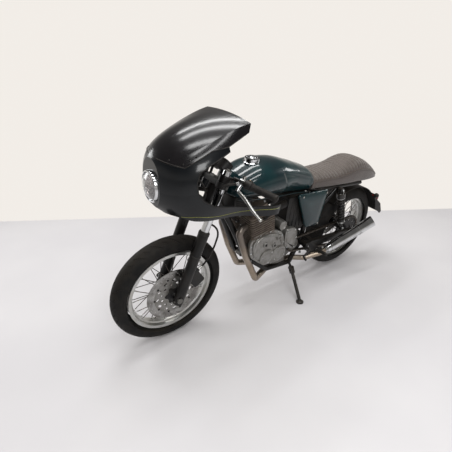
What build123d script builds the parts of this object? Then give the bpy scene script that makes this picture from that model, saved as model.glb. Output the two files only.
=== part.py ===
from build123d import *
import math
import os

os.makedirs("parts", exist_ok=True)

# Cafe racer motorcycle with a half fairing, parked on its side stand.
# Everything is drawn upright in the machine's own frame: X to the rider's left, Y to the
# rear, Z up, origin on the floor midway between the axles, millimetres. The last section
# leans the whole machine onto its stand and writes each piece.

# ---------------------------------------------------------------- driving sizes: stance
WHEELBASE = 1410.0
LEAN_DEG = 7.6
RUNNING_GAP = 0.3
JOINT_GAP = 5.5
BOX_CENTRE_X = 116.0
BOX_CENTRE_Y = 52.0

# ---------------------------------------------------------------- driving sizes: wheels
TYRE_R = 319.0
FRONT_TYRE_WIDTH = 100.0
REAR_TYRE_WIDTH = 130.0
BEAD_R = 228.6
FLANGE_R = 241.0
FLANGE_T = 3.5
TYRE_OVER_FLANGE = 4.0
FRONT_RIM_HALF = 36.0
REAR_RIM_HALF = 47.0
RIM_BED_T = 4.0
RIM_WELL_R = 213.0
RIM_WELL_HALF = 14.0
AXLE_R = 10.0
SPOKE_R = 1.9
SPOKE_PAIRS = 9
SPOKE_SWEEP_DEG = 50.0
SPOKE_HUB_R = 39.0
SPOKE_RIM_R = RIM_WELL_R - 1.0
SPOKE_RIM_X = 9.0

FRONT_AXLE_Y = -WHEELBASE / 2
REAR_AXLE_Y = WHEELBASE / 2
AXLE_Z = TYRE_R

# ---------------------------------------------------------------- driving sizes: brakes
FRONT_DISC_R = 153.0
FRONT_DISC_X = 55.0
REAR_DISC_R = 120.0
REAR_DISC_X = 74.0
DISC_T = 5.0
DISC_BAND = 42.0
CARRIER_R = 40.0
CARRIER_HOLES = 8
CARRIER_HOLE_R = 10.0
CARRIER_HOLE_AT_R = 88.0

# ---------------------------------------------------------------- driving sizes: steering
RAKE_DEG = 21.0
AXLE_LEAD = 12.0
YOKE_OFFSET = 25.0
LEG_SPACING = 190.0
STEER_LOCK_DEG = 26.0
STANCHION_R = 20.5
SLIDER_R = 28.0
SLIDER_FOOT = 36.0
SLIDER_TOP_Z = 672.0
SLIDER_SLEEVE = 70.0
FORK_TOP_Z = 978.0
YOKE_T = 28.0
YOKE_WALL = 11.0
LOWER_YOKE_Z = 776.0
UPPER_YOKE_Z = 897.0
STEM_R = 14.0
HEAD_TUBE_R = 27.0
HEAD_GAP = 5.5
BAR_R = 11.0
BAR_ROOT = (112.0, -413.0, 940.0)
BAR_TIP = (342.0, -347.0, 921.0)
BAR_CLAMP_WIDTH = 34.0
GRIP_R = 17.0
GRIP_LENGTH = 132.0
GRIP_WALL_GAP = RUNNING_GAP

# ---------------------------------------------------------------- driving sizes: engine
CYLINDER_BASE_Y = -158.0
CYLINDER_BASE_Z = 498.0
CYLINDER_TILT_DEG = 10.0
BARREL_H = 112.0
HEAD_H = 88.0
ROCKER_H = 38.0
FIN_HALF_WIDTH = 122.0
FIN_DEPTH = 172.0
FIN_PITCH = 13.0
FIN_T = 5.0
FIN_REACH = 22.0
CASE_HALF_WIDTH = 98.0
COVER_FACE_X = 146.0
COVER_Y = -130.0
COVER_Z = 462.0
COVER_R = 108.0
COVER_BASE_EXTRA = 6.0
REAR_LOBE_Y = -66.0
REAR_LOBE_Z = 418.0
REAR_LOBE_R = 86.0

# ---------------------------------------------------------------- driving sizes: chassis
FRAME_TUBE_R = 16.0
SPINE_R = 26.0
SWING_PIVOT_Y = 236.0
SWING_PIVOT_Z = 352.0
SWING_ARM_X = 110.0
SWING_ARM_T = 26.0
SWING_ARM_H = 46.0
SPROCKET_X = 84.0
SPROCKET_T = 6.0
SPROCKET_TIP_R = 98.0
FINAL_DRIVE_R = 40.0
FINAL_DRIVE_Y = 140.0
FINAL_DRIVE_Z = 372.0
CHAIN_H = 16.0
CHAIN_W = 16.0
CHAIN_GAP = 0.6
SHOCK_X = 120.0
SHOCK_TOP = (455.0, 706.0)
SHOCK_BOTTOM = (566.0, 396.0)
SPRING_R = 27.0
SHOCK_BODY_R = 18.0
SHOCK_EYE_R = 15.0

# ---------------------------------------------------------------- driving sizes: exhaust
HEADER_R = 20.0
HEADER_PORT_X = 72.0
HEADER_PORT_H = 136.0
HEADER_KNEE_X = 84.0
HEADER_KNEE_REACH = 62.0
HEADER_SIDE = (90.0, -256.0, 410.0)
HEADER_BEND = (96.0, -166.0, 224.0)
HEADER_TAIL = (36.0, -20.0, 222.0)
COLLECTOR_LENGTH = 120.0
COLLECTOR_H = 46.0
COLLECTOR_HALF_WIDTH = 57.0
LINK_R = 18.0
LINK_X = 32.0
SILENCER_R = 40.0
SILENCER_START = (158.0, 388.0, 286.0)
SILENCER_END = (200.0, 850.0, 424.0)
SILENCER_CONE = 110.0

# ---------------------------------------------------------------- driving sizes: stand
STAND_PIVOT = (120.0, 124.0, 212.0)
STAND_FOOT = (268.0, 100.0)
STAND_TUBE_R = 11.0
STAND_FOOT_R = 24.0
STAND_FOOT_T = 8.0
STAND_PIN_R = 6.0
STAND_BOSS_R = 15.0
STAND_BOSS_HALF = 8.0
STAND_CHEEK_T = 6.0
STAND_STOWED = (0.14, 0.99, 0.02)

LEAN = math.radians(LEAN_DEG)
RAKE = math.radians(RAKE_DEG)
LEG_X = LEG_SPACING / 2

# ---------------------------------------------------------------- working planes

def wheel_plane(axle_y):
    """Plane through a wheel's centre: local x runs along the axle, local y is the radius."""
    return Plane(origin=(0, axle_y, AXLE_Z), x_dir=(1, 0, 0), z_dir=(0, -1, 0))


def side_plane(x):
    """Plane of constant X: local x is the machine's Y, local y its Z."""
    return Plane(origin=(x, 0, 0), x_dir=(0, 1, 0), z_dir=(1, 0, 0))


def section_plane(y):
    """Plane of constant Y seen from the rear: local x is the machine's X, local y its Z."""
    return Plane(origin=(0, y, 0), x_dir=(1, 0, 0), z_dir=(0, -1, 0))


FRONT_WHEEL = wheel_plane(FRONT_AXLE_Y)
REAR_WHEEL = wheel_plane(REAR_AXLE_Y)

# A fork leg's own frame: origin on the leg's centreline at axle height, z up the leg,
# x across the machine and y towards the rear.
LEG_FOOT_Y = FRONT_AXLE_Y + AXLE_LEAD / math.cos(RAKE)
LEG_UP = (0, math.sin(RAKE), math.cos(RAKE))
FORK = Plane(origin=(0, LEG_FOOT_Y, AXLE_Z), x_dir=(1, 0, 0), z_dir=LEG_UP)


def up_leg(height):
    """Distance along the fork leg that reaches this height above the floor."""
    return (height - AXLE_Z) / math.cos(RAKE)


def fork_plane(distance):
    """Plane across the fork at this distance up the legs from the axle."""
    return FORK.offset(distance)


def round_bar(points, radius, bends=0.0, mode=Mode.ADD):
    """Add or cut a round bar along straight runs joined by arcs in the part being built."""
    with BuildLine(mode=Mode.PRIVATE) as route:
        if len(points) > 2:
            FilletPolyline(*points, radius=bends)
        else:
            Line(*points)
    path = route.wire()
    with BuildSketch(Plane(origin=path @ 0, z_dir=path % 0), mode=Mode.PRIVATE) as profile:
        Circle(radius)
    sweep(sections=profile.sketch, path=path, mode=mode)


def on_side(side, points):
    """The same points on the left (side 1) or the right (side -1) of the machine."""
    return [(side * x, y, z) for x, y, z in points]


def band(centre_a, radius_a, centre_b, radius_b):
    """Sketch face of a belt's outline round two circles, in the sketch being drawn."""
    across, up = centre_b[0] - centre_a[0], centre_b[1] - centre_a[1]
    apart = math.hypot(across, up)
    heading = math.atan2(up, across)
    splay = math.acos((radius_a - radius_b) / apart)
    corners = []
    for centre, radius, turn in (
        (centre_a, radius_a, splay),
        (centre_b, radius_b, splay),
        (centre_b, radius_b, -splay),
        (centre_a, radius_a, -splay),
    ):
        angle = heading + turn
        corners.append((centre[0] + radius * math.cos(angle), centre[1] + radius * math.sin(angle)))
    with BuildSketch(side_plane(0)) as outline:
        with Locations(centre_a):
            Circle(radius_a)
        with Locations(centre_b):
            Circle(radius_b)
        with BuildLine():
            Polyline(*corners, close=True)
        make_face()
    return outline.sketch


# ================================================================ wheels
# wheel columns: name, plane, tyre width, half the rim's width
WHEELS = [
    ("front", FRONT_WHEEL, FRONT_TYRE_WIDTH, FRONT_RIM_HALF),
    ("rear", REAR_WHEEL, REAR_TYRE_WIDTH, REAR_RIM_HALF),
]


def make_tyre(plane, width, rim_half):
    """A tyre: round crown, side walls pulled in to the bead inside the rim's flanges."""
    crown = width / 2
    crown_r = TYRE_R - crown
    bead_half = rim_half - FLANGE_T - RUNNING_GAP
    shoulder_r = FLANGE_R + TYRE_OVER_FLANGE
    with BuildPart() as tyre:
        with BuildSketch(plane):
            with BuildLine():
                Line((-bead_half, BEAD_R), (bead_half, BEAD_R))
                Line((bead_half, BEAD_R), (bead_half, shoulder_r))
                TangentArc((crown, crown_r), (bead_half, shoulder_r), tangent=(0, -1))
                CenterArc((0, crown_r), crown, 0, 180)
                TangentArc((-crown, crown_r), (-bead_half, shoulder_r), tangent=(0, -1))
                Line((-bead_half, shoulder_r), (-bead_half, BEAD_R))
            make_face()
        revolve(axis=Axis(plane.origin, (1, 0, 0)))
    return tyre.part


def make_rim(plane, rim_half):
    """A spoked wheel's rim: two flanges, a bead seat each side and a well between them."""
    seat_r = BEAD_R - RUNNING_GAP
    inner_r = seat_r - RIM_BED_T
    with BuildPart() as rim:
        with BuildSketch(plane):
            with BuildLine():
                Polyline(
                    (-rim_half, FLANGE_R),
                    (-rim_half + FLANGE_T, FLANGE_R),
                    (-rim_half + FLANGE_T, seat_r),
                    (-RIM_WELL_HALF - RIM_BED_T, seat_r),
                    (-RIM_WELL_HALF, RIM_WELL_R + RIM_BED_T),
                    (RIM_WELL_HALF, RIM_WELL_R + RIM_BED_T),
                    (RIM_WELL_HALF + RIM_BED_T, seat_r),
                    (rim_half - FLANGE_T, seat_r),
                    (rim_half - FLANGE_T, FLANGE_R),
                    (rim_half, FLANGE_R),
                    (rim_half, inner_r),
                    (RIM_WELL_HALF + RIM_BED_T, inner_r - RIM_BED_T),
                    (RIM_WELL_HALF, RIM_WELL_R),
                    (-RIM_WELL_HALF, RIM_WELL_R),
                    (-RIM_WELL_HALF - RIM_BED_T, inner_r - RIM_BED_T),
                    (-rim_half, inner_r),
                    close=True,
                )
            make_face()
        revolve(axis=Axis(plane.origin, (1, 0, 0)))
    return rim.part


tyres = {}
rims = {}
for name, plane, width, rim_half in WHEELS:
    tyres[name] = make_tyre(plane, width, rim_half)
    rims[name] = make_rim(plane, rim_half)

# Hubs: outline corners as (across, radius) from the right-hand end to the left.
HUB_FLANGE_R = 44.0
HUB_FLANGE_T = 6.0
FRONT_HUB_FLANGE_X = 30.0
REAR_HUB_FLANGE_X = 40.0
HUB_BARREL_R = 25.0
FRONT_DISC_SEAT_R = 60.0
REAR_DISC_SEAT_R = 60.0
SPROCKET_SEAT_R = 62.0
FRONT_HUB_RIGHT_X = 58.0
BORE_R = AXLE_R + RUNNING_GAP


def make_hub(plane, flange_x, left_x, left_seat_r, right_x, right_seat_r, lower_z):
    """A hub with two spoke flanges and a seat at each end, bored for its axle."""
    seat_t = left_x - lower_z
    with BuildPart() as hub:
        with BuildSketch(plane):
            with BuildLine():
                Polyline(
                    (-right_x, BORE_R),
                    (-right_x, right_seat_r),
                    (-right_x + seat_t, right_seat_r),
                    (-flange_x - HUB_FLANGE_T, HUB_BARREL_R),
                    (-flange_x - HUB_FLANGE_T, HUB_FLANGE_R),
                    (-flange_x, HUB_FLANGE_R),
                    (-flange_x, HUB_BARREL_R),
                    (flange_x, HUB_BARREL_R),
                    (flange_x, HUB_FLANGE_R),
                    (flange_x + HUB_FLANGE_T, HUB_FLANGE_R),
                    (flange_x + HUB_FLANGE_T, HUB_BARREL_R),
                    (lower_z, left_seat_r),
                    (left_x, left_seat_r),
                    (left_x, BORE_R),
                    close=True,
                )
            make_face()
        revolve(axis=Axis(plane.origin, (1, 0, 0)))
    return hub.part


front_hub = make_hub(
    FRONT_WHEEL, FRONT_HUB_FLANGE_X, FRONT_DISC_X, FRONT_DISC_SEAT_R, FRONT_HUB_RIGHT_X, 32.0, 47.0
)
rear_hub = make_hub(
    REAR_WHEEL, REAR_HUB_FLANGE_X, SPROCKET_X - SPROCKET_T / 2, SPROCKET_SEAT_R, REAR_DISC_X, REAR_DISC_SEAT_R, 68.0
)


def add_spokes(hub, plane, flange_x):
    """The hub with its crossed spokes, each ending just short of the rim."""
    places = []
    for side in (1, -1):
        # each pair: one spoke outside its flange sweeping back, one inside sweeping on
        for foot_x, sweep in ((flange_x + HUB_FLANGE_T, SPOKE_SWEEP_DEG), (flange_x, -SPOKE_SWEEP_DEG)):
            for index in range(SPOKE_PAIRS):
                turn = (index + side * 0.25) * 360.0 / SPOKE_PAIRS
                a, b = math.radians(turn), math.radians(turn + sweep)
                foot = Vector(side * foot_x, SPOKE_HUB_R * math.cos(a), SPOKE_HUB_R * math.sin(a))
                top = Vector(side * SPOKE_RIM_X, SPOKE_RIM_R * math.cos(b), SPOKE_RIM_R * math.sin(b))
                places.append((plane.origin + foot, top - foot))
    with BuildPart() as laced:
        add(hub)
        for foot, run in places:
            with BuildSketch(Plane(origin=foot, z_dir=run), mode=Mode.PRIVATE) as ring:
                Circle(SPOKE_R)
            spoke_bars.append(extrude(ring.sketch, amount=run.length, mode=Mode.PRIVATE))
        add(spoke_bars)
        spoke_bars.clear()
    return laced.part


spoke_bars = []
front_hub = add_spokes(front_hub, FRONT_WHEEL, FRONT_HUB_FLANGE_X)
rear_hub = add_spokes(rear_hub, REAR_WHEEL, REAR_HUB_FLANGE_X)


def make_disc(plane, radius, inner_x, hole_at_r):
    """A brake disc on the +X side of a plane through the wheel, with a ring of round holes."""
    face = Plane(origin=plane.origin + Vector(inner_x, 0, 0), x_dir=(0, 1, 0), z_dir=(1, 0, 0))
    with BuildPart() as disc:
        with BuildSketch(face):
            Circle(radius)
            Circle(CARRIER_R, mode=Mode.SUBTRACT)
            with PolarLocations(hole_at_r, CARRIER_HOLES):
                Circle(CARRIER_HOLE_R, mode=Mode.SUBTRACT)
        extrude(amount=DISC_T)
    return disc.part


front_disc = make_disc(FRONT_WHEEL, FRONT_DISC_R, FRONT_DISC_X, CARRIER_HOLE_AT_R)
rear_disc = make_disc(REAR_WHEEL, REAR_DISC_R, -REAR_DISC_X - DISC_T, REAR_DISC_R - DISC_BAND)
sprocket = make_disc(REAR_WHEEL, SPROCKET_TIP_R, SPROCKET_X - SPROCKET_T / 2,
    SPROCKET_TIP_R - DISC_BAND / 2)
rear_hub = rear_hub + sprocket

# ================================================================ fork and steering
slider_top = up_leg(SLIDER_TOP_Z)
fork_top = up_leg(FORK_TOP_Z)

with BuildPart() as fork_sliders:
    with BuildSketch(fork_plane(-SLIDER_FOOT)):
        with Locations((LEG_X, 0), (-LEG_X, 0)):
            Circle(SLIDER_R)
    extrude(amount=slider_top + SLIDER_FOOT)
    with BuildSketch(fork_plane(slider_top)):
        with Locations((LEG_X, 0), (-LEG_X, 0)):
            Circle(STANCHION_R + RUNNING_GAP)
    extrude(amount=-SLIDER_SLEEVE, mode=Mode.SUBTRACT)
    with BuildSketch(side_plane(0)) as axle_bore:
        with Locations((FRONT_AXLE_Y, AXLE_Z)):
            Circle(AXLE_R + RUNNING_GAP)
    extrude(amount=LEG_X * 2, both=True, mode=Mode.SUBTRACT)

with BuildPart() as fork_stanchions:
    with BuildSketch(fork_plane(slider_top - SLIDER_SLEEVE + RUNNING_GAP)):
        with Locations((LEG_X, 0), (-LEG_X, 0)):
            Circle(STANCHION_R)
    extrude(amount=fork_top - slider_top + SLIDER_SLEEVE - RUNNING_GAP)

FRONT_AXLE_END = LEG_X + SLIDER_R + 6.0
with BuildPart() as front_axle:
    with BuildSketch(side_plane(-FRONT_AXLE_END)):
        with Locations((FRONT_AXLE_Y, AXLE_Z)):
            Circle(AXLE_R)
    extrude(amount=2 * FRONT_AXLE_END)


def add_yoke(height):
    """Add one fork yoke, clamped round both stanchions and the stem, to the part being built."""
    with BuildSketch(fork_plane(up_leg(height))) as outline:
        with Locations((LEG_X, 0), (-LEG_X, 0)):
            Circle(STANCHION_R + YOKE_WALL)
        with Locations((0, YOKE_OFFSET)):
            Circle(STEM_R + YOKE_WALL)
        with Locations((0, YOKE_OFFSET / 2)):
            Rectangle(LEG_SPACING, STANCHION_R * 2)
        with Locations((LEG_X, 0), (-LEG_X, 0)):
            Circle(STANCHION_R + RUNNING_GAP, mode=Mode.SUBTRACT)
    extrude(outline.sketch, amount=YOKE_T)


with BuildPart() as yokes:
    add_yoke(LOWER_YOKE_Z)
    add_yoke(UPPER_YOKE_Z)
    with BuildSketch(fork_plane(up_leg(LOWER_YOKE_Z))):
        with Locations((0, YOKE_OFFSET)):
            Circle(STEM_R)
    extrude(amount=up_leg(UPPER_YOKE_Z) - up_leg(LOWER_YOKE_Z) + YOKE_T)

BAR_DIR = (Vector(*BAR_TIP) - Vector(*BAR_ROOT)).normalized()
BAR_LENGTH = (Vector(*BAR_TIP) - Vector(*BAR_ROOT)).length


def bar_plane(along):
    """Plane across the left handlebar tube at this distance outboard of its root."""
    return Plane(origin=Vector(*BAR_ROOT) + BAR_DIR * along, x_dir=(0, 1, 0), z_dir=BAR_DIR)


CLAMP_FROM = up_leg(UPPER_YOKE_Z) + YOKE_T + 1.0
with BuildPart() as clip_ons:
    with BuildSketch(fork_plane(CLAMP_FROM)):
        with Locations((LEG_X, 0)):
            Circle(STANCHION_R + YOKE_WALL)
        with Locations((LEG_X + YOKE_WALL, STANCHION_R)):
            Rectangle(BAR_R * 3, BAR_R * 3)
    extrude(amount=BAR_CLAMP_WIDTH)
    with BuildSketch(bar_plane(0)):
        Circle(BAR_R)
    extrude(amount=BAR_LENGTH)
    with BuildSketch(fork_plane(CLAMP_FROM - YOKE_T)):
        with Locations((LEG_X, 0)):
            Circle(STANCHION_R + RUNNING_GAP)
    extrude(amount=BAR_CLAMP_WIDTH + 2 * YOKE_T, mode=Mode.SUBTRACT)
    mirror(about=Plane.YZ)

with BuildPart() as grips:
    with BuildSketch(bar_plane(BAR_LENGTH - GRIP_LENGTH)):
        Circle(GRIP_R)
        Circle(BAR_R + GRIP_WALL_GAP, mode=Mode.SUBTRACT)
    extrude(amount=GRIP_LENGTH + 4.0)
    mirror(about=Plane.YZ)

# Levers: a perch clamped round the bar and a blade that runs outboard ahead of the grip.
PERCH_AT = 38.0
PERCH_WIDTH = 24.0
LEVER_DROOP_DEG = 45.0
LEVER_REACH = 46.0
LEVER_TIP_REACH = 118.0
LEVER_R = 5.0
LEVER_BALL_R = 8.0
MIRROR_BOSS_R = 9.0
MIRROR_BOSS_H = 20.0
MIRROR_THREAD_R = 4.25
MIRROR_THREAD_DEPTH = 16.0
LEVER_BALL_AT = BAR_LENGTH + 2.0
PERCH_WALL = 6.0
droop = math.radians(LEVER_DROOP_DEG)
AHEAD = Vector(0, -math.cos(droop), -math.sin(droop))


def lever_point(along, reach):
    """Point this far along the bar and this far ahead of and below it."""
    return Vector(*BAR_ROOT) + BAR_DIR * along + AHEAD * reach


mirror_lean = Vector(0, 0.5, 0.866)
MIRROR_UP = (mirror_lean - BAR_DIR * mirror_lean.dot(BAR_DIR)).normalized()
mirror_foot = lever_point(PERCH_AT + PERCH_WIDTH / 2, 0) + MIRROR_UP * (BAR_R + 2.0)
mirror_mouth = mirror_foot + MIRROR_UP * MIRROR_BOSS_H
HOSE_R = 5.5
HOSE_BEND_R = 24.0
CABLE_R = 3.5
CABLE_BOOT_R = 7.0
CABLE_STOP_R = 8.0
CABLE_DIR = Vector(-0.16, -0.98, 0.0).normalized()
MASTER_REACH = 26.0
MASTER_R = 11.0
RESERVOIR_R = 18.0
RESERVOIR_H = 24.0
cable_from = lever_point(PERCH_AT + PERCH_WIDTH / 2, 0) + CABLE_DIR * 34.0 + Vector(0, 0, -2.0)
hose_from = Vector(-137.0, -452.0, 914.0)
reservoir_at = lever_point(PERCH_AT + 34.0, MASTER_REACH)
reservoir_foot = Vector(-reservoir_at.X, reservoir_at.Y - RESERVOIR_R + 4.0,
    reservoir_at.Z + MASTER_R - 5.0)
with BuildPart() as levers:
    with BuildSketch(bar_plane(PERCH_AT)):
        Circle(BAR_R + PERCH_WALL)
    extrude(amount=PERCH_WIDTH)
    round_bar(
        [
            lever_point(PERCH_AT + PERCH_WIDTH / 2, BAR_R),
            lever_point(PERCH_AT + PERCH_WIDTH / 2 + 6.0, LEVER_REACH),
        ],
        LEVER_BALL_R + 2.0,
        0,
    )
    round_bar(
        [
            lever_point(PERCH_AT + PERCH_WIDTH / 2, LEVER_REACH - 6.0),
            lever_point(LEVER_BALL_AT / 2, LEVER_REACH + 20.0),
            lever_point(LEVER_BALL_AT, LEVER_TIP_REACH),
        ],
        LEVER_R,
        120.0,
    )
    with Locations(lever_point(LEVER_BALL_AT, LEVER_TIP_REACH)):
        Sphere(LEVER_BALL_R)
    with BuildSketch(Plane(origin=mirror_foot, z_dir=MIRROR_UP)):
        Circle(MIRROR_BOSS_R)
    extrude(amount=MIRROR_BOSS_H)
    with BuildSketch(bar_plane(PERCH_AT - 20.0)):
        Circle(BAR_R + RUNNING_GAP)
    extrude(amount=PERCH_WIDTH + 40.0, mode=Mode.SUBTRACT)
    with BuildSketch(Plane(origin=mirror_mouth, z_dir=MIRROR_UP)):
        Circle(MIRROR_THREAD_R)
    extrude(amount=-MIRROR_THREAD_DEPTH, mode=Mode.SUBTRACT)
    mirror(about=Plane.YZ)
    # cable stop on the left perch; master cylinder, its reservoir and hose port on the right
    round_bar([cable_from - CABLE_DIR * 15.0, cable_from - CABLE_DIR * RUNNING_GAP], CABLE_STOP_R)
    master = [lever_point(PERCH_AT - 8.0, MASTER_REACH), lever_point(PERCH_AT + 46.0, MASTER_REACH)]
    round_bar(on_side(-1, [tuple(end) for end in master]), MASTER_R)
    round_bar([hose_from + Vector(0, 30.0, 0), hose_from + Vector(0, RUNNING_GAP, 0)], MASTER_R - 3.0)
    with BuildSketch(Plane(origin=reservoir_foot, z_dir=(0, 0, 1))):
        Circle(RESERVOIR_R)
    extrude(amount=RESERVOIR_H)

# Instruments: two round cases on the upper yoke, faces tilted up towards the rider.
GAUGE_R = 34.0
GAUGE_T = 44.0
GAUGE_X = 38.0
GAUGE_Y = -402.0
GAUGE_Z = 992.0
GAUGE_TILT_DEG = 40.0
gauge_tilt = math.radians(GAUGE_TILT_DEG)
GAUGE_FACE = (0, math.cos(gauge_tilt), math.sin(gauge_tilt))
upper_yoke_top = fork_plane(up_leg(UPPER_YOKE_Z) + YOKE_T)
with BuildPart() as instruments:
    with BuildSketch(Plane(origin=(0, GAUGE_Y, GAUGE_Z), x_dir=(1, 0, 0), z_dir=GAUGE_FACE)):
        with Locations((GAUGE_X, 0), (-GAUGE_X, 0)):
            Circle(GAUGE_R)
        Rectangle(2 * GAUGE_X, GAUGE_R)
    extrude(amount=-GAUGE_T)
    with BuildSketch(upper_yoke_top):
        with Locations((GAUGE_X, YOKE_OFFSET - 12.0), (-GAUGE_X, YOKE_OFFSET - 12.0)):
            Circle(7.0)
    extrude(amount=62.0)

# Front caliper, behind the left leg, on two lugs.
CALIPER_ANGLE_DEG = 32.0
CALIPER_AT_R = 138.0
CALIPER_LENGTH = 104.0
CALIPER_DEPTH = 72.0
CALIPER_INNER_X = 40.0
CALIPER_OUTER_X = 84.0
caliper_angle = math.radians(CALIPER_ANGLE_DEG)


def caliper_plane(axle_y, x, angle):
    """Plane of constant X centred on a caliper: local x is the wheel's radius."""
    centre = (
        x,
        axle_y + CALIPER_AT_R * math.cos(angle),
        AXLE_Z + CALIPER_AT_R * math.sin(angle),
    )
    return Plane(origin=centre, x_dir=(0, math.cos(angle), math.sin(angle)), z_dir=(1, 0, 0))


caliper_out = Vector(0, math.cos(caliper_angle), math.sin(caliper_angle))
caliper_along = Vector(0, -math.sin(caliper_angle), math.cos(caliper_angle))
caliper_port = (
    Vector(66.0, FRONT_AXLE_Y, AXLE_Z) + caliper_out * (CALIPER_AT_R + CALIPER_DEPTH / 2 + 8.0) + caliper_along * 20.0
)
with BuildPart() as front_caliper:
    with BuildSketch(caliper_plane(FRONT_AXLE_Y, CALIPER_INNER_X, caliper_angle)):
        RectangleRounded(CALIPER_DEPTH, CALIPER_LENGTH, 14.0)
    extrude(amount=CALIPER_OUTER_X - CALIPER_INNER_X)
    with BuildSketch(side_plane(FRONT_DISC_X - JOINT_GAP)):
        with Locations((FRONT_AXLE_Y, AXLE_Z)):
            Circle(FRONT_DISC_R + JOINT_GAP)
    extrude(amount=DISC_T + 2 * JOINT_GAP, mode=Mode.SUBTRACT)
    # hose port on the outer end
    round_bar([caliper_port - caliper_out * 12.0, caliper_port], 9.0)
    # two lugs reach forward to the back of the left slider
    for height in (372.0, 448.0):
        round_bar(
            [(LEG_X - 20.0, FRONT_AXLE_Y + 128.0, height), (LEG_X - 20.0, FRONT_AXLE_Y + 40.0, height)],
            9.0,
            0,
        )
    with BuildSketch(fork_plane(-SLIDER_FOOT)):
        with Locations((LEG_X, 0)):
            Circle(SLIDER_R + RUNNING_GAP)
    extrude(amount=slider_top + SLIDER_FOOT, mode=Mode.SUBTRACT)
front_caliper_body = front_caliper.part.solids().sort_by(SortBy.VOLUME)[-1]

# Brake hose: from the master cylinder across ahead of the head, down ahead of the left leg,
# inside it and down behind it to the caliper.
hose_route = [
    hose_from,
    Vector(-137.0, -520.0, 914.0),
    Vector(84.0, -537.0, 908.0),
    Vector(80.0, -568.0, 800.0),
    Vector(56.0, -546.0, 722.0),
    Vector(100.0, -464.0, 676.0),
    Vector(104.0, -497.0, 569.0),
    caliper_port + caliper_out * 46.0,
    caliper_port + caliper_out * RUNNING_GAP,
]
with BuildPart() as brake_hose:
    round_bar(hose_route, HOSE_R, HOSE_BEND_R)

# Clutch cable: out of the left perch and down to its clip on the lower yoke.
clip_top = up_leg(LOWER_YOKE_Z) + YOKE_T + RUNNING_GAP
cable_route = [
    cable_from,
    cable_from + CABLE_DIR * 70.0,
    FORK.from_local_coords(Vector(118.0, -12.0, clip_top + 62.0)),
    FORK.from_local_coords(Vector(118.0, -12.0, clip_top)),
]
with BuildPart() as clutch_cable:
    round_bar(cable_route, CABLE_R, HOSE_BEND_R)
    round_bar([cable_from, cable_from + CABLE_DIR * 46.0], CABLE_BOOT_R)
for name, route in (("brake hose", hose_route), ("clutch cable", cable_route)):
    print(name, "bend radius mm", HOSE_BEND_R, "corners", len(route) - 2)

# ================================================================ frame
SEAT_RAIL_X = 88.0
SEAT_RAIL_R = 14.0
SEAT_RAIL_FRONT = (262.0, 734.0)
SEAT_RAIL_REAR = (700.0, 700.0)
SPINE_POINTS = [(0, -440.0, 842.0), (0, -120.0, 818.0), (0, 190.0, 731.0)]
PIVOT_TUBE_R = 20.0
PIVOT_BOLT_R = 8.0
MOUNT_BAR_R = 8.0
FRONT_MOUNT = (-232.0, 385.0)
REAR_MOUNT = (206.0, 296.0)
# main tube each side: across, along, up, from the steering head down, under and up to the seat
CRADLE = [
    (10.0, -455.0, 846.0),
    (42.0, -322.0, 580.0),
    (54.0, FRONT_MOUNT[0], FRONT_MOUNT[1]),
    (78.0, -70.0, 252.0),
    (78.0, 140.0, 232.0),
    (56.0, 185.0, 262.0),
    (56.0, SWING_PIVOT_Y, 345.0),
    (56.0, 262.0, 716.0),
]
stand_pivot = Vector(*STAND_PIVOT)
CROWN_R = REAR_TYRE_WIDTH / 2
LIFT = CROWN_R * (1 - math.cos(LEAN))


def on_floor(x, y, height):
    """Point of the upright machine that stands at this floor position once it leans."""
    z = height - LIFT
    return Vector(x * math.cos(LEAN) - z * math.sin(LEAN), y, x * math.sin(LEAN) + z * math.cos(LEAN))


# The side stand's bolt lies square to the leg both down and stowed.
stand_foot = on_floor(STAND_FOOT[0], STAND_FOOT[1], STAND_FOOT_T)
STAND_DOWN = (stand_foot - stand_pivot).normalized()
STAND_UP = Vector(*STAND_STOWED).normalized()
STAND_AXIS = STAND_DOWN.cross(STAND_UP).normalized()
STAND_SWING_DEG = round(math.degrees(math.acos(STAND_DOWN.dot(STAND_UP))), 1)
STAND_RAIL = Vector(78.0, stand_pivot.Y, 233.0)
STAND_LUG_DIR = (Vector(-1.0, 0, 0.5) - STAND_AXIS * Vector(-1.0, 0, 0.5).dot(STAND_AXIS)).normalized()
STAND_KNUCKLE = stand_pivot + STAND_LUG_DIR * 30.0

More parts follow.
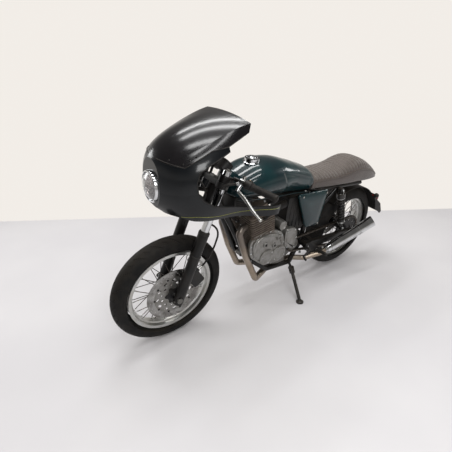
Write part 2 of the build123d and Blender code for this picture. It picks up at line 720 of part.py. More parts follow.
with BuildPart() as frame:
    with BuildSketch(fork_plane(up_leg(LOWER_YOKE_Z) + YOKE_T + HEAD_GAP)):
        with Locations((0, YOKE_OFFSET)):
            Circle(HEAD_TUBE_R)
    extrude(amount=up_leg(UPPER_YOKE_Z) - up_leg(LOWER_YOKE_Z) - YOKE_T - 2 * HEAD_GAP)
    round_bar(SPINE_POINTS, SPINE_R, 120.0)
    for side in (1, -1):
        round_bar(on_side(side, CRADLE), FRAME_TUBE_R, 28.0)
        round_bar(
            on_side(
                side,
                [(0.0, 150.0, 737.0), (SEAT_RAIL_X, *SEAT_RAIL_FRONT), (SEAT_RAIL_X, *SEAT_RAIL_REAR)],
            ),
            SEAT_RAIL_R,
            45.0,
        )
        round_bar(on_side(side, [(56.0, 250.0, 470.0), (SEAT_RAIL_X, SHOCK_TOP[0],
            SHOCK_TOP[1] + 6.0)]), 12.0)
    # cross tubes: half length, radius, y, z
    for half, radius, y, z in (
        (SWING_ARM_X - SWING_ARM_T / 2 - RUNNING_GAP, PIVOT_TUBE_R, SWING_PIVOT_Y, SWING_PIVOT_Z),
        (SWING_ARM_X + SWING_ARM_T / 2 + 3.0, PIVOT_BOLT_R, SWING_PIVOT_Y, SWING_PIVOT_Z),
        (SHOCK_X + 16.0, 9.0, SHOCK_TOP[0], SHOCK_TOP[1]),
        (SEAT_RAIL_X, 10.0, SEAT_RAIL_REAR[0] - 12.0, SEAT_RAIL_REAR[1]),
        (CRADLE[2][0], MOUNT_BAR_R, *FRONT_MOUNT),
        (CRADLE[5][0], MOUNT_BAR_R, *REAR_MOUNT),
    ):
        round_bar([(-half, y, z), (half, y, z)], radius)
    # side stand lug: a boss on the left rail with the stand's bolt through it
    round_bar([STAND_RAIL, STAND_KNUCKLE], STAND_BOSS_HALF)
    round_bar([STAND_KNUCKLE + STAND_LUG_DIR * STAND_BOSS_HALF, stand_pivot], STAND_BOSS_HALF)
    round_bar(
        [stand_pivot - STAND_AXIS * STAND_BOSS_HALF, stand_pivot + STAND_AXIS * STAND_BOSS_HALF], STAND_BOSS_R
    )
    bolt = STAND_AXIS * (STAND_BOSS_HALF + STAND_CHEEK_T + 3.0)
    round_bar([stand_pivot - bolt, stand_pivot + bolt], STAND_PIN_R)
    # bore of the head tube for the stem
    with BuildSketch(fork_plane(up_leg(LOWER_YOKE_Z))):
        with Locations((0, YOKE_OFFSET)):
            Circle(STEM_R + RUNNING_GAP)
    extrude(amount=up_leg(UPPER_YOKE_Z) - up_leg(LOWER_YOKE_Z), mode=Mode.SUBTRACT)

# ================================================================ swingarm and rear end
SHOCK_EYE_HALF = 13.0
SHOCK_PIN_R = 9.0
BOBBIN_AT = (655.0, 312.0)
BOBBIN_THREAD_R = 3.4
BOBBIN_THREAD_DEPTH = 16.0
SHOCK_LUG_T = SHOCK_X - SHOCK_EYE_HALF - RUNNING_GAP - (SWING_ARM_X - SWING_ARM_T / 2)
with BuildPart() as swingarm:
    for side in (1, -1):
        with BuildSketch(side_plane(side * SWING_ARM_X)):
            with Locations((SWING_PIVOT_Y, SWING_PIVOT_Z), (REAR_AXLE_Y, AXLE_Z)):
                Circle(SWING_ARM_H / 2)
            with BuildLine():
                Polyline(
                    (SWING_PIVOT_Y, SWING_PIVOT_Z + SWING_ARM_H / 2),
                    (REAR_AXLE_Y, AXLE_Z + SWING_ARM_H / 2),
                    (REAR_AXLE_Y, AXLE_Z - SWING_ARM_H / 2),
                    (SWING_PIVOT_Y, SWING_PIVOT_Z - SWING_ARM_H / 2),
                    close=True,
                )
            make_face()
        extrude(amount=SWING_ARM_T / 2, both=True)
    with BuildSketch(side_plane(0)):
        with Locations((SWING_PIVOT_Y + 62.0, SWING_PIVOT_Z)):
            Rectangle(30.0, 34.0)
    extrude(amount=SWING_ARM_X, both=True)
    # lower shock lugs stand up from the arms, each with its pin
    for side in (1, -1):
        with BuildSketch(side_plane(side * (SWING_ARM_X - SWING_ARM_T / 2))):
            with Locations((SHOCK_BOTTOM[0], SHOCK_BOTTOM[1] - 30.0)):
                Rectangle(32.0, 84.0)
        extrude(amount=side * SHOCK_LUG_T)
        round_bar(
            on_side(side, [(SWING_ARM_X - SWING_ARM_T / 2, *SHOCK_BOTTOM),
                (SHOCK_X + SHOCK_EYE_HALF, *SHOCK_BOTTOM)]),
            SHOCK_PIN_R,
        )
    with BuildSketch(side_plane(0)):
        with Locations((REAR_AXLE_Y, AXLE_Z)):
            Circle(AXLE_R + RUNNING_GAP)
        with Locations((SWING_PIVOT_Y, SWING_PIVOT_Z)):
            Circle(PIVOT_BOLT_R + RUNNING_GAP)
    extrude(amount=SWING_ARM_X + SWING_ARM_T, both=True, mode=Mode.SUBTRACT)
    # threads for paddock stand bobbins, one in each arm's outer face
    for side in (1, -1):
        with BuildSketch(side_plane(side * (SWING_ARM_X + SWING_ARM_T / 2))):
            with Locations(BOBBIN_AT):
                Circle(BOBBIN_THREAD_R)
        extrude(amount=-side * BOBBIN_THREAD_DEPTH, mode=Mode.SUBTRACT)

REAR_AXLE_END = SWING_ARM_X + SWING_ARM_T / 2 + 9.0
with BuildPart() as rear_axle:
    with BuildSketch(side_plane(-REAR_AXLE_END)):
        with Locations((REAR_AXLE_Y, AXLE_Z)):
            Circle(AXLE_R)
    extrude(amount=2 * REAR_AXLE_END)

shock_top = Vector(SHOCK_X, *SHOCK_TOP)
shock_bottom = Vector(SHOCK_X, *SHOCK_BOTTOM)
SHOCK_UP = (shock_top - shock_bottom).normalized()
SHOCK_LENGTH = (shock_top - shock_bottom).length
SPRING_FROM = 60.0
SHOCK_ROD_R = 12.0
SHOCK_NECK = 34.0
SPRING_TO = SHOCK_LENGTH - 58.0


def shock_plane(along):
    """Plane across the left shock at this distance up from its lower eye."""
    return Plane(origin=shock_bottom + SHOCK_UP * along, x_dir=(1, 0, 0), z_dir=SHOCK_UP)


with BuildPart() as shock_bodies:
    with BuildSketch(shock_plane(SHOCK_EYE_R - 4.0)):
        Circle(SHOCK_ROD_R)
    extrude(amount=SPRING_FROM)
    with BuildSketch(shock_plane(SHOCK_NECK)):
        Circle(SHOCK_BODY_R)
    extrude(amount=SHOCK_LENGTH - SHOCK_NECK - SHOCK_EYE_R + 4.0)
    with BuildSketch(shock_plane(SPRING_TO + RUNNING_GAP)):
        Circle(SPRING_R + 2.0)
    extrude(amount=34.0)
    with BuildSketch(side_plane(SHOCK_X)):
        with Locations(SHOCK_TOP, SHOCK_BOTTOM):
            Circle(SHOCK_EYE_R)
    extrude(amount=SHOCK_EYE_HALF, both=True)
    with BuildSketch(side_plane(SHOCK_X)):
        with Locations(SHOCK_TOP, SHOCK_BOTTOM):
            Circle(SHOCK_PIN_R + RUNNING_GAP)
    extrude(amount=SHOCK_EYE_HALF * 2, both=True, mode=Mode.SUBTRACT)
    mirror(about=Plane.YZ)

with BuildPart() as shock_springs:
    with BuildSketch(shock_plane(SPRING_FROM)):
        Circle(SPRING_R)
        Circle(SHOCK_BODY_R + RUNNING_GAP, mode=Mode.SUBTRACT)
    extrude(amount=SPRING_TO - SPRING_FROM)
    mirror(about=Plane.YZ)

# Chain: one closed band round both sprockets, clear of the rear sprocket's tips.
final_drive = (FINAL_DRIVE_Y, FINAL_DRIVE_Z)
rear_axle_at = (REAR_AXLE_Y, AXLE_Z)
tip_r = SPROCKET_TIP_R + CHAIN_GAP
drive_r = FINAL_DRIVE_R + CHAIN_GAP
with BuildPart() as chain:
    outer = band(rear_axle_at, tip_r + CHAIN_H, final_drive, drive_r + CHAIN_H)
    inner = band(rear_axle_at, tip_r, final_drive, drive_r)
    extrude(Pos(SPROCKET_X, 0, 0) * outer, amount=CHAIN_W / 2, both=True)
    extrude(Pos(SPROCKET_X, 0, 0) * inner, amount=CHAIN_W, both=True, mode=Mode.SUBTRACT)

# Rear caliper on the right, above the swingarm.
with BuildPart() as rear_caliper:
    with BuildSketch(Plane(
        origin=(-SWING_ARM_X + SWING_ARM_T / 2 + RUNNING_GAP, REAR_AXLE_Y - 96.0,
            AXLE_Z + 88.0), x_dir=(0, 1, 0), z_dir=(1, 0, 0)
    )):
        RectangleRounded(70.0, 96.0, 12.0)
    extrude(amount=DISC_T + 30.0)
    with BuildSketch(side_plane(-REAR_DISC_X - DISC_T - JOINT_GAP)):
        with Locations((REAR_AXLE_Y, AXLE_Z)):
            Circle(REAR_DISC_R + JOINT_GAP)
    extrude(amount=DISC_T + 2 * JOINT_GAP, mode=Mode.SUBTRACT)
    # carrier plate down to the axle, just inside the right arm
    with BuildSketch(side_plane(-SWING_ARM_X + SWING_ARM_T / 2 + RUNNING_GAP)):
        with Locations((REAR_AXLE_Y, AXLE_Z)):
            Circle(26.0)
        with BuildLine():
            Polyline(
                (REAR_AXLE_Y - 26.0, AXLE_Z), (REAR_AXLE_Y - 130.0, AXLE_Z + 70.0),
                (REAR_AXLE_Y - 70.0, AXLE_Z + 112.0), (REAR_AXLE_Y + 20.0, AXLE_Z + 16.0), close=True,
            )
        make_face()
        with Locations((REAR_AXLE_Y, AXLE_Z)):
            Circle(AXLE_R + RUNNING_GAP, mode=Mode.SUBTRACT)
    extrude(amount=6.0)

# ================================================================ engine
cyl_tilt = math.radians(CYLINDER_TILT_DEG)
CYL_UP = (0, -math.sin(cyl_tilt), math.cos(cyl_tilt))


def cylinder_plane(height):
    """Plane across the cylinders at this height above their base joint."""
    base = Plane(origin=(0, CYLINDER_BASE_Y, CYLINDER_BASE_Z), x_dir=(1, 0, 0), z_dir=CYL_UP)
    return base.offset(height)


DECK_SINE = math.sin(cyl_tilt)
DECK_COSINE = math.cos(cyl_tilt)


def cylinder_point(x, along, height):
    """Point of the machine from the cylinders' own across, rearward and upward distances."""
    return (
        x,
        CYLINDER_BASE_Y + along * DECK_COSINE - height * DECK_SINE,
        CYLINDER_BASE_Z + along * DECK_SINE + height * DECK_COSINE,
    )


deck_front = cylinder_point(0, -FIN_DEPTH / 2, -RUNNING_GAP)
deck_rear = cylinder_point(0, FIN_DEPTH / 2, -RUNNING_GAP)
GEARBOX_Y = 60.0
GEARBOX_LEFT_X = 66.0
SUMP_HALF_WIDTH = 56.0
with BuildPart() as crankcase:
    with BuildSketch(side_plane(-CASE_HALF_WIDTH)) as case_outline:
        with BuildLine():
            Polyline(
                deck_front[1:],
                (-236.0, 436.0),
                (-200.0, 400.0),
                (-140.0, 346.0),
                (-60.0, 300.0),
                (0.0, 280.0),
                (106.0, 280.0),
                (168.0, 322.0),
                (190.0, 420.0),
                (150.0, 520.0),
                (20.0, 540.0),
                deck_rear[1:],
                close=True,
            )
        make_face()
    extrude(amount=2 * CASE_HALF_WIDTH)
    # the gearbox is narrower on the left, where the chain leaves
    with BuildSketch(side_plane(GEARBOX_LEFT_X)):
        with Locations((GEARBOX_Y + 100.0, 400.0)):
            Rectangle(200.0, 300.0)
    extrude(amount=CASE_HALF_WIDTH, mode=Mode.SUBTRACT)
    with BuildSketch(side_plane(GEARBOX_LEFT_X)):
        with Locations(final_drive):
            Circle(14.0)
    extrude(amount=SPROCKET_X - SPROCKET_T / 2 - GEARBOX_LEFT_X)
    with BuildSketch(side_plane(SPROCKET_X - SPROCKET_T / 2)):
        with Locations(final_drive):
            Circle(FINAL_DRIVE_R)
    extrude(amount=SPROCKET_T)
    # sump between the rails, and mounting lugs round the two frame bars
    with BuildSketch(side_plane(-SUMP_HALF_WIDTH)):
        with BuildLine():
            Polyline((-76.0, 312.0), (-56.0, 254.0), (90.0, 254.0), (110.0, 290.0), close=True)
        make_face()
    extrude(amount=2 * SUMP_HALF_WIDTH)
    for centre, toward in ((FRONT_MOUNT, (-196.0, 400.0)), (REAR_MOUNT, (150.0, 330.0))):
        with BuildSketch(side_plane(-20.0)):
            with Locations(centre):
                Circle(16.0)
            with BuildLine():
                Polyline(
                    (centre[0], centre[1] + 16.0), (toward[0], toward[1] + 16.0),
                    (toward[0], toward[1] - 16.0), (centre[0], centre[1] - 16.0), close=True,
                )
            make_face()
        extrude(amount=40.0)
        with BuildSketch(side_plane(-24.0)):
            with Locations(centre):
                Circle(MOUNT_BAR_R + RUNNING_GAP)
        extrude(amount=48.0, mode=Mode.SUBTRACT)
FIN_COUNT = int(BARREL_H // FIN_PITCH)
HEAD_FIN_COUNT = int(HEAD_H // FIN_PITCH)


def add_fins(start, height, count):
    """Add a block with thin fins stacked up its sides, between two joint faces."""
    with BuildSketch(cylinder_plane(start)) as core:
        Rectangle(2 * (FIN_HALF_WIDTH - FIN_REACH), FIN_DEPTH - 2 * FIN_REACH)
    extrude(core.sketch, amount=height)
    for index in range(count):
        with BuildSketch(cylinder_plane(start + (index + 0.5) * height / count - FIN_T / 2)) as fin:
            RectangleRounded(2 * FIN_HALF_WIDTH, FIN_DEPTH, 16.0)
        extrude(fin.sketch, amount=FIN_T)


with BuildPart() as barrel:
    add_fins(0.0, BARREL_H, FIN_COUNT)
with BuildPart() as cylinder_head:
    add_fins(BARREL_H, HEAD_H, HEAD_FIN_COUNT)
    with BuildSketch(cylinder_plane(BARREL_H + HEAD_H)):
        RectangleRounded(2 * FIN_HALF_WIDTH - 40.0, FIN_DEPTH - 50.0, 20.0)
    extrude(amount=ROCKER_H, taper=12)


def cut_cylinder_clearance():
    """Cut the space of the finned cylinders, with a small gap, from the part being built."""
    with BuildSketch(cylinder_plane(-RUNNING_GAP)) as clearance:
        Rectangle(2 * (FIN_HALF_WIDTH + 2.0), FIN_DEPTH + 6.0)
    extrude(clearance.sketch, amount=BARREL_H + HEAD_H, mode=Mode.SUBTRACT)


main_lobe = (COVER_Y, COVER_Z)
right_lobe = (50.0, 412.0)
RIGHT_LOBE_R = 84.0
rear_lobe = (REAR_LOBE_Y, REAR_LOBE_Z)
COVER_LIP = 12.0
REAR_COVER_T = 26.0
with BuildPart() as engine_covers:
    base = band(main_lobe, COVER_R + COVER_BASE_EXTRA, rear_lobe, REAR_LOBE_R + COVER_BASE_EXTRA)
    extrude(Pos(CASE_HALF_WIDTH, 0, 0) * base, amount=COVER_FACE_X - CASE_HALF_WIDTH - COVER_LIP)
    crown = band(main_lobe, COVER_R, rear_lobe, REAR_LOBE_R)
    extrude(Pos(COVER_FACE_X - COVER_LIP, 0, 0) * crown, amount=COVER_LIP, taper=30)
    with BuildSketch(side_plane(CASE_HALF_WIDTH)):
        with BuildLine():
            Polyline(
                (-20.0, 310.0), (120.0, 310.0), (150.0, 350.0), (140.0, 470.0), (96.0, 515.0), (-20.0,
                    530.0), close=True
            )
        make_face()
    extrude(amount=REAR_COVER_T)
    base = band(main_lobe, COVER_R, right_lobe, RIGHT_LOBE_R)
    extrude(Pos(-CASE_HALF_WIDTH, 0, 0) * base, amount=-(COVER_FACE_X - CASE_HALF_WIDTH - COVER_LIP))
    cut_cylinder_clearance()

# Intake side: throttle bodies square to the head's back face, and the air box behind them.
INTAKE_R = 24.0
INTAKE_X = 46.0
INTAKE_H = 138.0
INTAKE_LENGTH = 150.0
AIR_BOX_Y = 40.0
AIR_BOX_HALF = 74.0
intake_from = cylinder_point(INTAKE_X, FIN_DEPTH / 2 + RUNNING_GAP, INTAKE_H)
intake_to = cylinder_point(INTAKE_X, FIN_DEPTH / 2 + INTAKE_LENGTH, INTAKE_H)
with BuildPart() as air_box:
    with BuildSketch(side_plane(-AIR_BOX_HALF)):
        with BuildLine():
            Polyline(
                (AIR_BOX_Y, 716.0), (AIR_BOX_Y, 560.0), (150.0, 545.0), (206.0, 552.0), (206.0,
                    700.0), close=True
            )
        make_face()
    extrude(amount=2 * AIR_BOX_HALF)
    for side in (1, -1):
        round_bar(on_side(side, [intake_from, intake_to]), INTAKE_R)

# ================================================================ exhaust
port = cylinder_point(HEADER_PORT_X, -FIN_DEPTH / 2 - RUNNING_GAP, HEADER_PORT_H)
knee = cylinder_point(HEADER_KNEE_X, -FIN_DEPTH / 2 - HEADER_KNEE_REACH, HEADER_PORT_H)
port_end = cylinder_point(HEADER_PORT_X, -FIN_DEPTH / 2 - 8.0, HEADER_PORT_H)
with BuildPart() as header_pipes:
    for side in (1, -1):
        round_bar(on_side(side, [port, port_end]), HEADER_R)
        round_bar(on_side(side, [port_end, knee, HEADER_SIDE, HEADER_BEND, HEADER_TAIL]), HEADER_R, 27.0)
    with BuildSketch(cylinder_plane(0)):
        with Locations((0, -FIN_DEPTH / 2)):
            Rectangle(2 * FIN_HALF_WIDTH, 2 * RUNNING_GAP)
    extrude(amount=BARREL_H + HEAD_H, mode=Mode.SUBTRACT)
header_solids = header_pipes.part.solids().sort_by(SortBy.VOLUME)[-2:]

silencer_start = Vector(*SILENCER_START)
silencer_end = Vector(*SILENCER_END)
silencer_axis = (silencer_end - silencer_start).normalized()
SILENCER_LENGTH = (silencer_end - silencer_start).length
INLET_DEPTH = 30.0
inlet_before = silencer_start - silencer_axis * 40.0
inlet_inside = silencer_start + silencer_axis * (INLET_DEPTH - 4.0)

# Collector under the engine, with a link pipe each side out to the silencer.
collector_from = HEADER_TAIL[1] + 4.0
collector_to = collector_from + COLLECTOR_LENGTH
link_route = [
    (LINK_X, collector_to - 10.0, HEADER_TAIL[2]),
    (LINK_X, 185.0, HEADER_TAIL[2]),
    (104.0, 252.0, 238.0),
    tuple(inlet_before),
    tuple(inlet_inside),
]
with BuildPart() as collector:
    with BuildSketch(section_plane(collector_from)):
        with Locations((0, HEADER_TAIL[2])):
            RectangleRounded(2 * COLLECTOR_HALF_WIDTH, COLLECTOR_H, 20.0)
    extrude(amount=-COLLECTOR_LENGTH)
    for side in (1, -1):
        round_bar(on_side(side, [HEADER_BEND, HEADER_TAIL]), HEADER_R + RUNNING_GAP, mode=Mode.SUBTRACT)
        round_bar(on_side(side, link_route), LINK_R, 40.0)

silencer_base = Plane(origin=silencer_start, x_dir=(1, 0, 0), z_dir=silencer_axis)
SILENCER_WALL = 4.0
SLASH_DEG = 50.0
SLASH_TOWARD = Vector(0.8, 0, 0.6)
MOUTH_DEPTH = 130.0
with BuildPart() as silencers:
    with BuildSketch(silencer_base):
        Circle(LINK_R + 5.0)
    with BuildSketch(silencer_base.offset(SILENCER_CONE)):
        Circle(SILENCER_R)
    loft()
    with BuildSketch(silencer_base.offset(SILENCER_CONE)):
        Circle(SILENCER_R)
    extrude(amount=SILENCER_LENGTH - SILENCER_CONE)
    # hollow mouth, and the socket for the pipe that feeds it
    with BuildSketch(silencer_base.offset(SILENCER_LENGTH - MOUTH_DEPTH)):
        Circle(SILENCER_R - SILENCER_WALL)
    extrude(amount=MOUTH_DEPTH, mode=Mode.SUBTRACT)
    with BuildSketch(silencer_base):
        Circle(LINK_R + RUNNING_GAP)
    extrude(amount=INLET_DEPTH, mode=Mode.SUBTRACT)
    # slash cut that faces outboard and up
    slash_normal = silencer_axis * math.cos(math.radians(SLASH_DEG)) + SLASH_TOWARD * math.sin(math.radians(SLASH_DEG))
    slash = Plane(
        origin=silencer_end - silencer_axis * (SILENCER_R * math.tan(math.radians(SLASH_DEG))),
        z_dir=slash_normal,
    )
    split(bisect_by=slash, keep=Keep.BOTTOM)
    mirror(about=Plane.YZ)

# ================================================================ tank, seat and panels
# tank sections front to rear: y, floor z, floor half width, widest z, half width, top z
TANK_SECTIONS = [
    (-384.0, 812.0, 60.0, 848.0, 92.0, 888.0),
    (-335.0, 800.0, 94.0, 852.0, 132.0, 926.0),
    (-216.0, 790.0, 112.0, 862.0, 152.0, 964.0),
    (-70.0, 772.0, 104.0, 858.0, 144.0, 958.0),
    (50.0, 764.0, 84.0, 850.0, 118.0, 914.0),
    (150.0, 760.0, 72.0, 830.0, 104.0, 872.0),
    (206.0, 758.0, 62.0, 800.0, 90.0, 832.0),
]
TUNNEL_HALF = 36.0
CAP_Y = -216.0
CAP_Z = 958.0
CAP_R = 40.0
CAP_T = 22.0
with BuildPart() as fuel_tank:
    for y, floor_z, floor_half, wide_z, half, top_z in TANK_SECTIONS:
        with BuildSketch(section_plane(y)):
            with BuildLine():
                Line((-floor_half, floor_z), (floor_half, floor_z))
                ThreePointArc(
                    (floor_half, floor_z),
                    ((floor_half + half) / 2 + (half - floor_half) * 0.28, (floor_z + wide_z) / 2),
                    (half, wide_z),
                )
                EllipticalCenterArc((0, wide_z), half, top_z - wide_z, start_angle=0, arc_size=180)
                ThreePointArc(
                    (-half, wide_z),
                    (-(floor_half + half) / 2 - (half - floor_half) * 0.28, (floor_z + wide_z) / 2),
                    (-floor_half, floor_z),
                )
            make_face()
    loft()
    # tunnel over the frame's spine: its ceiling rests just above the tube
    rest = SPINE_R + RUNNING_GAP
    rise = rest / math.cos(math.radians(16.4))
    (_, head_y, head_z), (_, bend_y, bend_z), (_, tail_y, tail_z) = SPINE_POINTS
    with BuildSketch(side_plane(0)):
        with BuildLine():
            Polyline(
                (head_y, 700.0), (head_y, head_z + rise), (bend_y, bend_z + rise),
                (tail_y, tail_z + rise), (tail_y + 60.0, tail_z + rise - 17.6), (tail_y + 60.0,
                    700.0), close=True,
            )
        make_face()
    extrude(amount=TUNNEL_HALF, both=True, mode=Mode.SUBTRACT)
    # seat of the filler cap
    with BuildSketch(Plane.XY.offset(CAP_Z)):
        with Locations((0, CAP_Y)):
            Circle(CAP_R + RUNNING_GAP)
    extrude(amount=40.0, mode=Mode.SUBTRACT)

with BuildPart() as filler_cap:
    with BuildSketch(Plane.XY.offset(CAP_Z)):
        with Locations((0, CAP_Y)):
            Circle(CAP_R)
    extrude(amount=CAP_T)

# The seat base lies on the rails and the seat on the base; both follow the rails' slope.
SEAT_HALF_WIDTH = 118.0
SEAT_BASE_T = 9.0
SEAT_FRONT_Y = 210.0
SEAT_LOW_Y = 760.0
SEAT_END_Y = 925.0
rail_slope = (SEAT_RAIL_REAR[1] - SEAT_RAIL_FRONT[1]) / (SEAT_RAIL_REAR[0] - SEAT_RAIL_FRONT[0])


def over_rail(y, height):
    """Height above the floor of a line this far above the seat rails' crowns."""
    crown = SEAT_RAIL_R * math.hypot(1, rail_slope)
    return SEAT_RAIL_FRONT[1] + rail_slope * (y - SEAT_RAIL_FRONT[0]) + crown + height


SEAT_UNDER = SEAT_BASE_T + 2 * RUNNING_GAP
with BuildPart() as seat:
    with BuildSketch(side_plane(-SEAT_HALF_WIDTH)):
        with BuildLine():
            Polyline((SEAT_FRONT_Y, over_rail(SEAT_FRONT_Y, SEAT_UNDER)), (SEAT_FRONT_Y, 832.0),
                (330.0, 838.0), (450.0, 842.0))
            Spline((450.0, 842.0), (540.0, 868.0), (620.0, 882.0), (720.0, 862.0), (820.0, 806.0),
                (SEAT_END_Y, 728.0))
            Polyline(
                (SEAT_END_Y, 728.0),
                (SEAT_END_Y - 20.0, 706.0),
                (SEAT_LOW_Y, over_rail(SEAT_LOW_Y, SEAT_UNDER)),
                (SEAT_FRONT_Y, over_rail(SEAT_FRONT_Y, SEAT_UNDER)),
            )
        make_face()
    extrude(amount=2 * SEAT_HALF_WIDTH)
    # plan form: narrow at the tank, widest at the hump, round at the tail
    with BuildSketch(Plane.XY.offset(600.0)):
        with BuildLine():
            Line((-100.0, SEAT_FRONT_Y), (100.0, SEAT_FRONT_Y))
            Line((100.0, SEAT_FRONT_Y), (SEAT_HALF_WIDTH, 460.0))
            Line((SEAT_HALF_WIDTH, 460.0), (104.0, 760.0))
            ThreePointArc((104.0, 760.0), (0, SEAT_END_Y), (-104.0, 760.0))
            Line((-104.0, 760.0), (-SEAT_HALF_WIDTH, 460.0))
            Line((-SEAT_HALF_WIDTH, 460.0), (-100.0, SEAT_FRONT_Y))
        make_face()
    extrude(amount=400.0, mode=Mode.INTERSECT)

SEAT_BASE_HALF = 96.0
with BuildPart() as seat_base:
    with BuildSketch(side_plane(-SEAT_BASE_HALF)):
        with BuildLine():
            Polyline(
                (SEAT_FRONT_Y, over_rail(SEAT_FRONT_Y, RUNNING_GAP + SEAT_BASE_T)),
                (SEAT_FRONT_Y, over_rail(SEAT_FRONT_Y, RUNNING_GAP)),
                (SEAT_LOW_Y, over_rail(SEAT_LOW_Y, RUNNING_GAP)),
                (SEAT_LOW_Y, over_rail(SEAT_LOW_Y, RUNNING_GAP + SEAT_BASE_T)),
                close=True,
            )
        make_face()
    extrude(amount=2 * SEAT_BASE_HALF)

# side covers: outline seen from the side
SIDE_COVER = [(72.0, 744.0), (345.0, 727.0), (318.0, 500.0), (296.0, 482.0), (200.0, 490.0)]
SIDE_COVER_X = SEAT_RAIL_X + SEAT_RAIL_R + RUNNING_GAP
SIDE_COVER_T = 18.0
with BuildPart() as side_covers:
    with BuildSketch(side_plane(SIDE_COVER_X)):
        with BuildLine():
            Polyline(*SIDE_COVER, close=True)
        make_face()
        fillet(vertices(), 22.0)
    extrude(amount=SIDE_COVER_T, taper=20)
    mirror(about=Plane.YZ)

# ================================================================ fairing, screen, headlight
# body sections front to rear: y, floor z, floor half width, widest z, half width,
# shoulder z, shoulder half width, top z
COWL_SECTIONS = [
    (-780.0, 845.0, 38.0, 936.0, 84.0, 1036.0, 58.0, 1060.0),
    (-750.0, 824.0, 76.0, 940.0, 142.0, 1066.0, 96.0, 1096.0),
    (-695.0, 791.0, 130.0, 948.0, 192.0, 1096.0, 132.0, 1136.0),
    (-560.0, 770.0, 176.0, 970.0, 223.0, 1156.0, 159.0, 1190.0),
    (-395.0, 756.0, 176.0, 990.0, 213.0, 1210.0, 170.0, 1220.0),
    (-100.0, 740.0, 126.0, 940.0, 164.0, 1210.0, 134.0, 1220.0),
]
COWL_WALL = 4.0


def add_cowl(inset, mode):
    """Loft the cowl's form, inset all round by this much, into the part being built."""
    sections = []
    for y, floor_z, floor_half, wide_z, half, shoulder_z, shoulder_half, top_z in COWL_SECTIONS:
        at_y = y
        if y == COWL_SECTIONS[0][0]:
            at_y = y + inset
        if y == COWL_SECTIONS[-1][0]:
            at_y = y + inset * 2
        with BuildSketch(section_plane(at_y)) as section:
            with BuildLine():
                low = floor_z + inset
                low_half = floor_half - inset / 2
                w = half - inset
                sh = shoulder_half - inset / 2
                sz = shoulder_z - inset
                top = top_z - inset
                Line((-low_half, low), (low_half, low))
                ThreePointArc((low_half, low), (low_half + (w - low_half) * 0.72,
                    low + (wide_z - low) * 0.4), (w, wide_z))
                ThreePointArc((w, wide_z), (sh + (w - sh) * 0.80, wide_z + (sz - wide_z) * 0.62), (sh, sz))
                ThreePointArc((sh, sz), (0, top), (-sh, sz))
                ThreePointArc((-sh, sz), (-sh - (w - sh) * 0.80, wide_z + (sz - wide_z) * 0.62),
                    (-w, wide_z))
                ThreePointArc((-w, wide_z), (-low_half - (w - low_half) * 0.72,
                    low + (wide_z - low) * 0.4), (-low_half, low))
            make_face()
        sections.append(section.sketch)
    loft(sections, mode=mode)


# side outlines (y, z) used to part the cowl
SEAM = [(-830.0, 1068.0), (-705.0, 1056.0), (-655.0, 1084.0), (-590.0, 1117.0), (-520.0, 1128.0),
    (-410.0, 1176.0), (-380.0, 1236.0)]
CUT_OUT = [
    (-515.0, 1112.0), (-606.0, 1070.0), (-654.0, 1042.0), (-669.0, 1000.0), (-662.0, 955.0), (-640.0,
        922.0),
    (-585.0, 886.0), (-456.0, 846.0), (-385.0, 826.0), (-263.0, 810.0), (-150.0, 796.0), (-112.0, 778.0),
    (0.0, 778.0), (0.0, 1300.0), (-515.0, 1300.0),
]
LOWER_EDGE = [
    (-840.0, 828.0), (-724.0, 826.0), (-663.0, 808.0), (-553.0, 795.0), (-425.0, 776.0), (-313.0, 758.0),
    (-199.0, 752.0), (-112.0, 764.0), (0.0, 764.0), (0.0, 600.0), (-840.0, 600.0),
]
SEAM_GAP = 0.5
HEADLIGHT_Z = 932.0
HEADLIGHT_R = 73.0
RIM_DEPTH = 14.0
BUCKET_R = 67.0
BUCKET_DEPTH = 60.0

with BuildPart() as fairing:
    add_cowl(0.0, Mode.ADD)
    add_cowl(COWL_WALL, Mode.SUBTRACT)
    for outline in (CUT_OUT, LOWER_EDGE, SEAM + [(-380.0, 1300.0), (-830.0, 1300.0)]):
        with BuildSketch(side_plane(0)):
            with BuildLine():
                Polyline(*outline, close=True)
            make_face()
        extrude(amount=300.0, both=True, mode=Mode.SUBTRACT)
    with BuildSketch(section_plane(COWL_SECTIONS[0][0])):
        with Locations((0, HEADLIGHT_Z)):
            Circle(BUCKET_R + 2.0)
    extrude(amount=-40.0, both=True, mode=Mode.SUBTRACT)

with BuildPart() as windscreen:
    add_cowl(0.0, Mode.ADD)
    add_cowl(COWL_WALL, Mode.SUBTRACT)
    with BuildSketch(side_plane(0)):
        with BuildLine():
            Polyline(
                *[(y, z + SEAM_GAP) for y, z in SEAM],
                (0.0, 1236.0), (0.0, 600.0), (-830.0, 600.0), close=True,
            )
        make_face()
    extrude(amount=300.0, both=True, mode=Mode.SUBTRACT)

with BuildPart() as headlight:
    with BuildSketch(section_plane(COWL_SECTIONS[0][0] - RUNNING_GAP)):
        with Locations((0, HEADLIGHT_Z)):
            Circle(HEADLIGHT_R)
    extrude(amount=RIM_DEPTH)
    with BuildSketch(section_plane(COWL_SECTIONS[0][0] - RUNNING_GAP)):
        with Locations((0, HEADLIGHT_Z)):
            Circle(BUCKET_R)
    extrude(amount=-BUCKET_DEPTH, taper=24)

